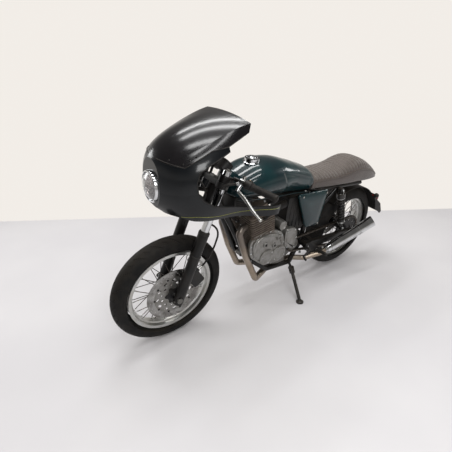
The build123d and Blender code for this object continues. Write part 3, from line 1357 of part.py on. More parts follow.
# Fairing stay: a bar ahead of the steering head with a cross bar out to the cowl's walls.
STAY_Y = -640.0
STAY_Z = 905.0
with BuildPart() as fairing_stay:
    head_front = Vector(0, -484.0, 852.0)
    round_bar([head_front, (0, STAY_Y, STAY_Z)], 10.0)
    round_bar([(-230.0, STAY_Y, STAY_Z), (230.0, STAY_Y, STAY_Z)], 7.0)
    round_bar([(0, STAY_Y, STAY_Z), (0, COWL_SECTIONS[0][0] + BUCKET_DEPTH + 6.0, HEADLIGHT_Z)], 7.0)
    add_cowl(COWL_WALL + RUNNING_GAP, Mode.INTERSECT)
    with BuildSketch(fork_plane(up_leg(LOWER_YOKE_Z))):
        with Locations((0, YOKE_OFFSET)):
            Circle(HEAD_TUBE_R + RUNNING_GAP)
    extrude(amount=up_leg(UPPER_YOKE_Z) - up_leg(LOWER_YOKE_Z), mode=Mode.SUBTRACT)

# ================================================================ mudguard, lamp, controls
GUARD_R = TYRE_R + 8.0
GUARD_T = 3.0
GUARD_HALF = 70.0
with BuildPart() as rear_mudguard:
    with BuildSketch(side_plane(-GUARD_HALF)):
        with BuildLine():
            CenterArc((REAR_AXLE_Y, AXLE_Z), GUARD_R, 22.0, 108.0)
            CenterArc((REAR_AXLE_Y, AXLE_Z), GUARD_R + GUARD_T, 22.0, 108.0)
            for angle in (22.0, 130.0):
                a = math.radians(angle)
                Line(
                    (REAR_AXLE_Y + GUARD_R * math.cos(a), AXLE_Z + GUARD_R * math.sin(a)),
                    (REAR_AXLE_Y + (GUARD_R + GUARD_T) * math.cos(a),
                        AXLE_Z + (GUARD_R + GUARD_T) * math.sin(a)),
                )
        make_face()
    extrude(amount=2 * GUARD_HALF)
    # post up to the rear cross tube
    round_bar(
        [
            (0, SEAT_RAIL_REAR[0] - 12.0, AXLE_Z + GUARD_R + GUARD_T / 2),
            (0, SEAT_RAIL_REAR[0] - 12.0, SEAT_RAIL_REAR[1] - 10.0 - RUNNING_GAP),
        ],
        9.0,
    )

# Number plate bracket: a tray fused to the guard, open below, its rear face drilled for a plate.
BRACKET_HALF = 85.0
BRACKET_WALL = 4.0
BRACKET_TOP = [(890.0, 582.0), (1079.0, 446.0)]
BRACKET_REAR = (1128.0, 365.0)
PLATE_HOLE_R = 3.3
PLATE_HOLE_X = 60.0
bracket_rear_from = Vector(0, *BRACKET_TOP[1])
bracket_rear_to = Vector(0, *BRACKET_REAR)
rear_down = (bracket_rear_to - bracket_rear_from).normalized()
REAR_OUT = Vector(0, -rear_down.Z, rear_down.Y)
plate_face = Plane(origin=(bracket_rear_from + bracket_rear_to) * 0.5, x_dir=(1, 0, 0), z_dir=REAR_OUT)
with BuildPart() as plate_bracket:
    with BuildSketch(side_plane(-BRACKET_HALF)) as tray:
        with BuildLine():
            Polyline(*BRACKET_TOP, BRACKET_REAR, (1112.0, 352.0), (1050.0, 398.0), (945.0, 446.0),
                close=True)
        make_face()
        with Locations((REAR_AXLE_Y, AXLE_Z)):
            Circle(GUARD_R + GUARD_T, mode=Mode.SUBTRACT)
    extrude(amount=2 * BRACKET_HALF)
    with BuildSketch(side_plane(-BRACKET_HALF + BRACKET_WALL)):
        with BuildLine():
            Polyline(
                (BRACKET_TOP[0][0] - 20.0, BRACKET_TOP[0][1] + 9.0),
                (BRACKET_TOP[1][0] - 5.0, BRACKET_TOP[1][1] - 1.5),
                (BRACKET_REAR[0] - 6.5, BRACKET_REAR[1] + 2.5),
                (1100.0, 300.0), (900.0, 300.0), close=True,
            )
        make_face()
        with Locations((REAR_AXLE_Y, AXLE_Z)):
            Circle(GUARD_R + GUARD_T + BRACKET_WALL, mode=Mode.SUBTRACT)
    extrude(amount=2 * (BRACKET_HALF - BRACKET_WALL), mode=Mode.SUBTRACT)
    with BuildSketch(plate_face.offset(2.0)):
        with Locations((PLATE_HOLE_X, 0), (-PLATE_HOLE_X, 0)):
            Circle(PLATE_HOLE_R)
    extrude(amount=-30.0, mode=Mode.SUBTRACT)
guard_and_bracket = rear_mudguard.part + plate_bracket.part

lamp_from = Vector(0, *BRACKET_TOP[0])
lamp_to = Vector(0, *BRACKET_TOP[1])
lamp_slope = (lamp_to - lamp_from).normalized()
lamp_up = Vector(0, -lamp_slope.Z, lamp_slope.Y)
with BuildPart() as tail_lamp:
    with BuildSketch(Plane(origin=lamp_to - lamp_slope * 36.0 + lamp_up * RUNNING_GAP, x_dir=(1, 0, 0),
        z_dir=lamp_up)):
        RectangleRounded(120.0, 50.0, 20.0)
    extrude(amount=26.0)

# Footrest plates outside the swingarm pivot, with the pegs; the left one carries the gear lever.
PLATE_X = SWING_ARM_X + SWING_ARM_T / 2 + 3.0 + RUNNING_GAP
PLATE_T = 6.0
PEG_AT = (328.0, 299.0)
PEG_TIP = (222.0, 329.0, 305.0)
LEVER_AT = (232.0, 340.0)
with BuildPart() as foot_controls:
    for side in (1, -1):
        with BuildSketch(side_plane(side * PLATE_X)):
            with BuildLine():
                Polyline(
                    (212.0, 376.0), (262.0, 376.0), (348.0, 312.0), (342.0, 286.0), (316.0,
                        286.0), (212.0, 328.0), close=True
                )
            make_face()
        extrude(amount=side * PLATE_T)
        round_bar(on_side(side, [(PLATE_X + PLATE_T / 2, *PEG_AT), PEG_TIP]), 10.0)
        # gear lever on the left, brake pedal on the right
        toe = [(PLATE_X + PLATE_T / 2, *LEVER_AT), (154.0, *LEVER_AT), (160.0, 176.0, 304.0),
            (190.0, 166.0, 302.0)]
        round_bar(on_side(side, toe), 7.0, 12.0)

# ================================================================ side stand
FLOOR_NORMAL = Vector(-math.sin(LEAN), 0, math.cos(LEAN))
CHEEK_FROM = STAND_BOSS_HALF + RUNNING_GAP
LEG_FROM = STAND_BOSS_R + STAND_TUBE_R + 3.0
with BuildPart() as side_stand:
    round_bar([stand_pivot + STAND_DOWN * LEG_FROM, stand_foot], STAND_TUBE_R)
    # foot pad, flat on the floor
    foot_plane = Plane(origin=stand_foot, x_dir=(0, 1, 0), z_dir=FLOOR_NORMAL)
    with BuildSketch(foot_plane):
        Circle(STAND_FOOT_R)
    extrude(amount=-STAND_FOOT_T)
    with BuildSketch(foot_plane):
        Circle(STAND_FOOT_R)
    extrude(amount=STAND_TUBE_R, taper=50)
    # fork round the frame's boss: two cheeks and a crown
    for way in (1, -1):
        cheek = Plane(origin=stand_pivot + STAND_AXIS * (way * CHEEK_FROM), x_dir=STAND_DOWN,
            z_dir=STAND_AXIS)
        with BuildSketch(cheek):
            Circle(STAND_BOSS_R - 1.0)
            with Locations((LEG_FROM / 2, 0)):
                Rectangle(LEG_FROM, 2 * STAND_BOSS_R - 6.0)
            Circle(STAND_PIN_R + RUNNING_GAP, mode=Mode.SUBTRACT)
        extrude(amount=way * STAND_CHEEK_T)
    crown_plane = Plane(origin=stand_pivot + STAND_DOWN * (LEG_FROM - 8.0), x_dir=STAND_AXIS,
        z_dir=STAND_DOWN)
    with BuildSketch(crown_plane):
        Rectangle(2 * (CHEEK_FROM + STAND_CHEEK_T), 2 * STAND_BOSS_R - 6.0)
    extrude(amount=16.0)

# ================================================================ parked pose and export
HOME = Location((-BOX_CENTRE_X, -BOX_CENTRE_Y, 0)) * Location((0, 0, LIFT), (0, LEAN_DEG, 0))

PIECES = {
    "front_tyre": tyres["front"],
    "rear_tyre": tyres["rear"],
    "front_rim": rims["front"],
    "rear_rim": rims["rear"],
    "front_hub": front_hub,
    "rear_hub": rear_hub,
    "front_disc": front_disc,
    "rear_disc": rear_disc,
    "fork_sliders": fork_sliders.part,
    "fork_stanchions": fork_stanchions.part,
    "front_axle": front_axle.part,
    "yokes": yokes.part,
    "clip_ons": clip_ons.part,
    "grips": grips.part,
    "levers": levers.part,
    "instruments": instruments.part,
    "front_caliper": front_caliper_body,
    "brake_hose": brake_hose.part,
    "clutch_cable": clutch_cable.part,
    "frame": frame.part,
    "swingarm": swingarm.part,
    "rear_axle": rear_axle.part,
    "shock_bodies": shock_bodies.part,
    "shock_springs": shock_springs.part,
    "chain": chain.part,
    "rear_caliper": rear_caliper.part,
    "crankcase": crankcase.part,
    "barrel": barrel.part,
    "cylinder_head": cylinder_head.part,
    "engine_covers": engine_covers.part,
    "air_box": air_box.part,
    "header_pipes": Compound(header_solids),
    "collector": collector.part,
    "silencers": silencers.part,
    "fuel_tank": fuel_tank.part,
    "filler_cap": filler_cap.part,
    "seat": seat.part,
    "seat_base": seat_base.part,
    "side_covers": side_covers.part,
    "fairing": fairing.part,
    "windscreen": windscreen.part,
    "headlight": headlight.part,
    "rear_mudguard": guard_and_bracket,
    "tail_lamp": tail_lamp.part,
    "foot_controls": foot_controls.part,
    "fairing_stay": fairing_stay.part,
    "side_stand": side_stand.part,
}
for name, piece in PIECES.items():
    parked = HOME * piece
    parked.label = name
    export_step(parked, f"parts/{name}.step")
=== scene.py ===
"""Looks of a parked cafe racer motorcycle, built round its fixed frame."""

import logging
import math
from dataclasses import dataclass
from enum import Enum
from typing import Callable, Iterable, Sequence

import bmesh
import bpy
from mathutils import Matrix, Vector
from mathutils.bvhtree import BVHTree


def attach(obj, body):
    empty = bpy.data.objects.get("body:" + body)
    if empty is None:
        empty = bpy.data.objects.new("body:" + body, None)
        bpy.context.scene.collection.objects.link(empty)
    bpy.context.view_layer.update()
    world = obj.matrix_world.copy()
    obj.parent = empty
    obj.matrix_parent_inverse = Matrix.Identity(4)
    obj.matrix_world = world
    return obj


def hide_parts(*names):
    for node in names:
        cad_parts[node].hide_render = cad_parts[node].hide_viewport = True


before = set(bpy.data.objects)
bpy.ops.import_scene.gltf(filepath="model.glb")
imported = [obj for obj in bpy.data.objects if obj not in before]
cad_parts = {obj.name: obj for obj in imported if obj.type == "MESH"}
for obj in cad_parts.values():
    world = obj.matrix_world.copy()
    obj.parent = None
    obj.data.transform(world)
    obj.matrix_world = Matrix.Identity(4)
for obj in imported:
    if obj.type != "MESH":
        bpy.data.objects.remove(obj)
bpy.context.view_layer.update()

log = logging.getLogger("cafe_racer")

# The machine is modelled upright in millimetres (left +X, rear +Y), then leaned and placed.
MM = 0.001
LEAN = math.radians(7.6)
SHIFT = (-0.116, -0.052, 0.00057)
PARK = Matrix.Translation(SHIFT) @ Matrix.Rotation(LEAN, 4, "Y") @ Matrix.Scale(MM, 4)
UPRIGHT = PARK.inverted()
FRONT_AXLE = Vector((0.0, -705, 319))
REAR_AXLE = Vector((0.0, 705, 319))
SIDES = (1, -1)

Colour = tuple[float, float, float, float]
Mesh = bmesh.types.BMesh
Point = Sequence[float]
Outline = Sequence[tuple[float, float]]
VERT, EDGE = bmesh.types.BMVert, bmesh.types.BMEdge


def tone(code: str) -> Colour:
    """Turn six hexadecimal digits of red, green and blue into linear light with full alpha."""
    parts = [int(code[i : i + 2], 16) / 255 for i in (0, 2, 4)]
    light = [p / 12.92 if p <= 0.04045 else ((p + 0.055) / 1.055) ** 2.4 for p in parts]
    return (*light, 1.0)


# ---------------------------------------------------------------- shader wiring
class Wires:
    """Adds and joins the nodes of one shader tree."""

    def __init__(self, tree: bpy.types.NodeTree) -> None:
        """Hold the tree that the nodes go into."""
        self.tree = tree

    def feed(self, node: bpy.types.Node, inputs: dict) -> bpy.types.Node:
        """Link or set a node's inputs, by name or place, and return the node."""
        for key, value in inputs.items():
            if isinstance(value, bpy.types.NodeSocket):
                self.tree.links.new(value, node.inputs[key])
            else:
                node.inputs[key].default_value = value
        return node

    def add(self, kind: str, inputs: dict | None = None, **props: object) -> bpy.types.Node:
        """Add one node.

        Args:
            kind: Blender's name for the node type, without its "ShaderNode".
            inputs: Values or sockets for its inputs, by name or place.
            props: Properties to set on it first.

        Returns:
            The new node.
        """
        node = self.tree.nodes.new(f"ShaderNode{kind}")
        for name, value in props.items():
            setattr(node, name, value)
        return self.feed(node, inputs or {})

    def maths(self, operation: str, a: object, b: object = 0.0, c: object = 0.0) -> bpy.types.NodeSocket:
        """Add a Math node and return its result."""
        return self.add("Math", {0: a, 1: b, 2: c}, operation=operation).outputs[0]

    def spread(self, value: object, low: float, high: float) -> bpy.types.NodeSocket:
        """Return 0 below low, 1 above high and a smooth step between."""
        inputs = {"Value": value, "From Min": low, "From Max": high}
        return self.add("MapRange", inputs, interpolation_type="SMOOTHSTEP").outputs["Result"]

    def mix(self, factor: object, a: object, b: object) -> bpy.types.NodeSocket:
        """Mix two colours and return the result."""
        return self.add("Mix", {0: factor, 6: a, 7: b}, data_type="RGBA").outputs[2]

    def noise(self, where: object, scale: object, detail: float = 4.0) -> bpy.types.NodeSocket:
        """Return a noise value at a place."""
        return self.add("TexNoise", {"Vector": where, "Scale": scale, "Detail": detail}).outputs[0]

    def height(self, vector: object) -> bpy.types.NodeSocket:
        """Return a vector's Z."""
        return self.add("SeparateXYZ", {0: vector}).outputs[2]

    def upright(self, where: object, centre: Vector) -> bpy.types.NodeSocket:
        """Turn Object coordinates into upright metres from a centre given in millimetres."""
        place = Matrix.Rotation(-LEAN, 3, "Y") @ -Vector(SHIFT) - centre * MM
        inputs = {"Vector": where, "Location": place, "Rotation": (0.0, -LEAN, 0.0)}
        return self.add("Mapping", inputs).outputs[0]


def shader_group(
    name: str, inputs: dict[str, object], outputs: Sequence[str],
) -> tuple[Wires, dict, bpy.types.Node]:
    """Start a shader node group.

    Args:
        name: The group's name.
        inputs: Each input's name and default; a tuple of four is a colour, of three a vector.
        outputs: Output names; one that starts with Colour is a colour.

    Returns:
        The wiring helper, the group's input sockets by name and its output node.
    """
    tree = bpy.data.node_groups.new(name, "ShaderNodeTree")
    kinds = {3: "NodeSocketVector", 4: "NodeSocketColor"}
    for label, value in inputs.items():
        kind = kinds[len(value)] if isinstance(value, tuple) else "NodeSocketFloat"
        tree.interface.new_socket(name=label, in_out="INPUT", socket_type=kind).default_value = value
    for label in outputs:
        kind = "NodeSocketColor" if label.startswith("Colour") else "NodeSocketFloat"
        tree.interface.new_socket(name=label, in_out="OUTPUT", socket_type=kind)
    source, target = tree.nodes.new("NodeGroupInput"), tree.nodes.new("NodeGroupOutput")
    return Wires(tree), {s.name: s for s in source.outputs if s.name}, target


def make_patina() -> bpy.types.NodeTree:
    """Build the group for blotches of a second tone, uneven gloss and dust on upward faces."""
    inputs = {
        "Vector": (0.0, 0.0, 0.0), "Base": (0.5, 0.5, 0.5, 1.0), "Second": (0.4, 0.4, 0.4, 1.0),
        "Scale": 30, "Roughness": 0.4, "Spread": 0.1, "Dust": 0.0, "Dust Colour": tone("8a7d6c"),
    }
    wires, at, out = shader_group("Patina", inputs, ("Colour", "Roughness"))
    blotch = wires.spread(wires.noise(at["Vector"], at["Scale"], 6), 0.36, 0.66)
    fine = wires.noise(at["Vector"], wires.maths("MULTIPLY", at["Scale"], 7), 3)
    up = wires.spread(wires.height(wires.add("NewGeometry").outputs["Normal"]), 0.1, 1.0)
    lying = wires.maths("MULTIPLY", up, wires.maths("MULTIPLY_ADD", fine, 0.8, 0.3))
    settled = wires.maths("MULTIPLY_ADD", blotch, 0.35, lying)
    mask = wires.add("Clamp", {0: wires.maths("MULTIPLY", settled, at["Dust"])}).outputs[0]
    colour = wires.mix(mask, wires.mix(blotch, at["Base"], at["Second"]), at["Dust Colour"])
    swing = wires.maths("MULTIPLY_ADD", fine, 2, -1.0)
    rough = wires.maths("MULTIPLY_ADD", swing, at["Spread"], at["Roughness"])
    wires.feed(out, {"Colour": colour, "Roughness": wires.maths("MULTIPLY_ADD", mask, 0.35, rough)})
    return wires.tree


def make_grain() -> bpy.types.NodeTree:
    """Build the group for a surface's fine relief: cast skin, hide, brushed lines or pebbled rubber."""
    inputs = {"Vector": (0.0, 0.0, 0.0), "Scale": 500, "Cells": 0.5, "Stretch": (1.0, 1.0, 1.0)}
    wires, at, out = shader_group("Grain", inputs, ("Height",))
    where = wires.add("VectorMath", {0: at["Vector"], 1: at["Stretch"]}, operation="MULTIPLY").outputs[0]
    noise = wires.noise(where, at["Scale"], 5)
    cells = wires.add("TexVoronoi", {"Vector": where, "Scale": at["Scale"]}).outputs["Distance"]
    either = wires.add("Mix", {0: at["Cells"], 2: noise, 3: cells}, data_type="FLOAT")
    wires.feed(out, {"Height": either.outputs[0]})
    return wires.tree


def make_rings() -> bpy.types.NodeTree:
    """Build the group that splits a surface at a radius from an axle and draws turned rings."""
    inputs = {"Vector": (0.0, 0.0, 0.0), "Inner": 0.1, "Outer": 0.11, "Rings": 900}
    wires, at, out = shader_group("Turned Rings", inputs, ("Mask", "Height"))
    flat = wires.add("VectorMath", {0: at["Vector"], 1: (0.0, 1.0, 1.0)}, operation="MULTIPLY").outputs[0]
    radius = wires.add("VectorMath", {0: flat}, operation="LENGTH").outputs["Value"]
    mask = wires.add("MapRange", {"Value": radius, "From Min": at["Inner"], "From Max": at["Outer"]})
    grooves = wires.add("TexNoise", {"W": radius, "Scale": at["Rings"]}, noise_dimensions="1D")
    wires.feed(out, {"Mask": mask.outputs[0], "Height": grooves.outputs[0]})
    return wires.tree


PATINA = make_patina()
GRAIN = make_grain()
RINGS = make_rings()


# ---------------------------------------------------------------- finishes
class Relief(Enum):
    """The kinds of fine relief, each with how cellular it is and how it is drawn out."""

    SMOOTH = (0.0, (1.0, 1.0, 1.0))
    CAST = (0.45, (1.0, 1.0, 1.0))
    BRUSHED = (0.0, (1.0, 0.06, 1.0))
    HIDE = (0.85, (1.0, 1.0, 1.0))
    RUBBER = (0.6, (1.0, 1.0, 1.0))


@dataclass(frozen=True)
class Finish:
    """One surface finish, from its two tones to its relief.

    Attributes give colours as codes, scales as features a metre and relief depth in metres.
    A finish with an axle changes from base to outer across the two radii of its edge.
    """

    name: str
    base: str
    second: str
    roughness: float = 0.4
    spread: float = 0.08
    scale: float = 14.0
    metallic: float = 0.0
    coat: float = 0.0
    coat_rough: float = 0.04
    relief: Relief = Relief.SMOOTH
    grain: float = 500.0
    depth: float = 0.0002
    dust: float = 0.0
    specular: float = 0.5
    axle: tuple[float, float, float] | None = None
    outer: str = ""
    edge: tuple[float, float] = (0.05, 0.055)
    rings: float = 0.0

    def build(self) -> bpy.types.Material:
        """Make the material.

        Returns:
            A new node material with this finish's name.
        """
        material = bpy.data.materials.new(self.name)
        material.use_nodes = True
        wires = Wires(material.node_tree)
        shader = material.node_tree.nodes["Principled BSDF"]
        where = wires.add("TexCoord").outputs["Object"]
        base: object = tone(self.base)
        relief = None
        if self.axle:
            turned = wires.add("Group", {
                "Vector": wires.upright(where, Vector(self.axle)),
                "Inner": self.edge[0], "Outer": self.edge[1], "Rings": self.rings,
            }, node_tree=RINGS)
            base = wires.mix(turned.outputs["Mask"], base, tone(self.outer))
            relief = turned if self.rings else None
        if relief is None:
            cells, stretch = self.relief.value
            grain = {"Vector": where, "Scale": self.grain, "Cells": cells, "Stretch": stretch}
            relief = wires.add("Group", grain, node_tree=GRAIN)
        skin = wires.add("Group", {
            "Vector": where, "Base": base, "Second": tone(self.second), "Scale": self.scale,
            "Roughness": self.roughness, "Spread": self.spread, "Dust": self.dust,
        }, node_tree=PATINA).outputs
        bump = wires.add("Bump", {"Height": relief.outputs["Height"], "Distance": self.depth, "Strength": 1.0})
        wires.feed(shader, {
            "Base Color": skin["Colour"], "Roughness": skin["Roughness"], "Normal": bump.outputs[0],
            "Metallic": self.metallic, "Specular IOR Level": self.specular,
            "Coat Weight": self.coat, "Coat Roughness": self.coat_rough,
        })
        self.finish_shader(wires, shader, where)
        return material

    def finish_shader(self, wires: Wires, shader: bpy.types.Node, where: bpy.types.NodeSocket) -> None:
        """Let a special finish add to the shader; a plain one adds nothing."""


@dataclass(frozen=True)
class HeatedPipe(Finish):
    """Steel pipe that heat has stained in bands of straw, bronze and grey-blue."""

    stops: tuple[tuple[float, str], ...] = (
        (0.0, "a29a92"), (0.22, "a89a88"), (0.45, "9d8d7a"), (0.7, "a5988a"), (0.88, "8b7d6e"), (1.0, "6f6862"),
    )

    def finish_shader(self, wires: Wires, shader: bpy.types.Node, where: bpy.types.NodeSocket) -> None:
        """Mix heat bands over the base colour along the pipe's fall."""
        low = wires.height(wires.upright(where, Vector((0, 0, 0))))
        wobble = wires.maths("MULTIPLY_ADD", wires.noise(where, 26), 0.12, low)
        ramp = wires.add("ValToRGB", {0: wires.spread(wobble, 0.2, 0.62)})
        while len(ramp.color_ramp.elements) < len(self.stops):
            ramp.color_ramp.elements.new(0.5)
        for element, (place, code) in zip(ramp.color_ramp.elements, self.stops):
            element.position, element.color = place, tone(code)
        skin = shader.inputs["Base Color"].links[0].from_socket
        wires.feed(shader, {"Base Color": wires.mix(0.7, skin, ramp.outputs[0])})


@dataclass(frozen=True)
class ClearLens(Finish):
    """Clear or tinted moulded lens."""

    transmission: float = 0.9

    def finish_shader(self, wires: Wires, shader: bpy.types.Node, where: bpy.types.NodeSocket) -> None:
        """Let light through the lens."""
        wires.feed(shader, {"Transmission Weight": self.transmission, "IOR": 1.45})


@dataclass(frozen=True)
class StitchedHide(Finish):
    """Seat leather with a soft sheen."""

    def finish_shader(self, wires: Wires, shader: bpy.types.Node, where: bpy.types.NodeSocket) -> None:
        """Add the worn nap's sheen."""
        wires.feed(shader, {"Sheen Weight": 0.25, "Sheen Roughness": 0.5})


CAST, BRUSHED, HIDE, RUBBER = Relief.CAST, Relief.BRUSHED, Relief.HIDE, Relief.RUBBER


def wheel_finishes(end: str, axle: Vector, tread: float, flange: float, band: float) -> tuple[Finish, ...]:
    """Return the finishes of one wheel.

    Args:
        end: The wheel's name.
        axle: Its middle.
        tread: The radius in metres beyond which the tyre turns to its browner outer tone.
        flange: The radius of the hub's flange.
        band: The radius where the disc's friction band starts.

    Returns:
        The tyre's, the hub's and the disc's finish.
    """
    at = tuple(axle)
    return (
        Finish(f"{end} rubber", "0a0a0a", "0f0e0d", 0.66, 0.07, 22, relief=RUBBER, grain=1300, depth=0.00012,
               dust=0.05, specular=0.22, axle=at, outer="151312", edge=(tread, 0.318)),
        Finish(f"{end} hub", "2a2a2b", "222120", 0.38, 0.08, 20, 0.9, axle=at, outer="6a6057",
               edge=(flange, flange + 0.004)),
        Finish(f"{end} disc steel", "8d8d8c", "7a7875", 0.3, 0.08, 20, 1.0, axle=at, outer="a9a8a6",
               edge=(band, band + 0.003), rings=1400, depth=0.00004, dust=0.06),
    )


# Relief depths of gloss and of brushed metal, in metres.
POLISHED, LINES = 0.000003, 0.000012
FINISHES: tuple[Finish, ...] = (
    Finish("cowl paint", "070a0d", "0a0e12", 0.34, 0.02, 6, coat=0.5, coat_rough=0.14, grain=900,
           depth=POLISHED, dust=0.005, specular=0.1),
    Finish("tank paint", "07272a", "061e23", 0.3, 0.02, 8, coat=0.75, coat_rough=0.06, grain=900,
           depth=POLISHED, dust=0.006, specular=0.15),
    Finish("smoked screen", "0a090c", "0f0d10", 0.3, 0.02, 7, coat=0.9, coat_rough=0.17, grain=700,
           depth=POLISHED, dust=0.005, specular=0.1),
    Finish("pinstripe gold", "8c8f3e", "77792f", 0.35, 0.05, coat=0.5),
    Finish("chrome", "dfe1e3", "cfd1d3", 0.09, 0.04, 18, 1.0, grain=600, depth=POLISHED, dust=0.03),
    Finish("bright steel", "c4c6c7", "adada9", 0.28, 0.08, 22, 1.0, relief=BRUSHED, depth=LINES, dust=0.04),
    Finish("rim alloy", "c9cac8", "bab9b4", 0.32, 0.03, 16, 1.0, relief=BRUSHED, depth=LINES, dust=0.06),
    Finish("cast alloy", "6f6e6c", "5f5d58", 0.5, 0.1, 30, 0.7, relief=CAST, grain=900, depth=0.00015, dust=0.1),
    Finish("cover alloy", "8f8e8b", "807e7a", 0.38, 0.07, 34, 0.85, relief=CAST, grain=1100, depth=0.00004,
           dust=0.05),
    Finish("fin alloy", "756b62", "5f564e", 0.5, 0.1, 40, 0.6, relief=CAST, grain=800, depth=0.00018, dust=0.14),
    HeatedPipe("heated pipe", "a39a90", "8b8178", 0.38, 0.1, 20, 1.0, relief=BRUSHED, depth=LINES, dust=0.06),
    Finish("black paint", "080808", "0c0b0b", 0.4, 0.06, 16, coat=0.25, grain=700, depth=0.00006, dust=0.04,
           specular=0.2),
    Finish("black cast", "0f0f10", "151413", 0.5, 0.08, 18, relief=CAST, grain=900, depth=0.00015, dust=0.06,
           specular=0.4),
    Finish("black plastic", "0d0d0d", "131212", 0.5, 0.06, 20, relief=CAST, grain=1500, depth=0.0001, dust=0.06,
           specular=0.35),
    Finish("rubber", "0f0e0e", "141312", 0.62, 0.06, 26, relief=RUBBER, grain=1300, depth=0.0001, dust=0.06,
           specular=0.35),
    Finish("stand black", "101010", "1b1918", 0.45, 0.1, 30, coat=0.1, grain=700, depth=0.0001, dust=0.12,
           specular=0.3),
    Finish("spring black", "0d0d0e", "151414", 0.36, 0.08, 20, coat=0.4, dust=0.08, specular=0.3),
    Finish("chain steel", "5d5852", "3c3630", 0.42, 0.12, 60, 1.0, grain=900, depth=0.00008, dust=0.12),
    *wheel_finishes("front", FRONT_AXLE, 0.296, 0.046, 0.108),
    *wheel_finishes("rear", REAR_AXLE, 0.292, 0.1, 0.078),
    StitchedHide("seat hide", "463d39", "38302d", 0.5, 0.08, 16, relief=HIDE, grain=620, depth=0.0003, dust=0.14),
    Finish("thread", "7c6d5e", "64564a", 0.7, 0.05, 90, grain=2500, depth=0.0002),
    ClearLens("clear lens", "f2f3f4", "e8eaec", 0.03, 0.01, grain=200, depth=0.00002),
    ClearLens("red lens", "a5120e", "8c0e0b", 0.08, 0.02, grain=300, depth=0.00005, transmission=0.45),
    ClearLens("amber lens", "d26a12", "bb5a0d", 0.08, 0.02, grain=300, depth=0.00005, transmission=0.45),
    Finish("reflector", "c6b7b2", "b3a5a1", 0.12, 0.03, 10, 1.0, grain=200, depth=POLISHED),
    Finish("dial face", "0b0b0c", "101011", 0.5, 0.03),
    Finish("dial mark", "e6e4dc", "d4d1c6", 0.5, 0.03),
    Finish("needle", "c4401c", "a83518", 0.45, 0.03),
    Finish("yellow button", "d8a516", "c4930f", 0.42, 0.04),
    Finish("cap ring", "121211", "1c1b1a", 0.4, 0.05),
)
MATERIALS: dict[str, bpy.types.Material] = {finish.name: finish.build() for finish in FINISHES}

# The frame's nodes that each finish goes on.
NODE_FINISHES: dict[str, str] = {
    "cowl paint": "fairing",
    "smoked screen": "windscreen",
    "tank paint": "fuel_tank side_covers",
    "chrome": "filler_cap fork_stanchions silencers",
    "bright steel": "front_axle rear_axle levers",
    "rim alloy": "front_rim rear_rim",
    "cast alloy": "crankcase",
    "cover alloy": "engine_covers",
    "fin alloy": "barrel cylinder_head",
    "heated pipe": "header_pipes collector",
    "black paint": "frame swingarm clip_ons fairing_stay fork_sliders",
    "black cast": "yokes front_caliper rear_caliper foot_controls",
    "black plastic": "seat_base air_box rear_mudguard instruments headlight",
    "rubber": "grips brake_hose clutch_cable",
    "stand black": "side_stand",
    "spring black": "shock_springs shock_bodies",
    "chain steel": "chain",
    "front rubber": "front_tyre",
    "rear rubber": "rear_tyre",
    "front hub": "front_hub",
    "rear hub": "rear_hub",
    "front disc steel": "front_disc",
    "rear disc steel": "rear_disc",
    "seat hide": "seat",
    "red lens": "tail_lamp",
}


def dress_frame() -> None:
    """Give every node of the frame its finish."""
    for finish, names in NODE_FINISHES.items():
        for name in names.split():
            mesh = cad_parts[name].data
            mesh.materials.clear()
            mesh.materials.append(MATERIALS[finish])
            log.info("node %s: %s", name, finish)


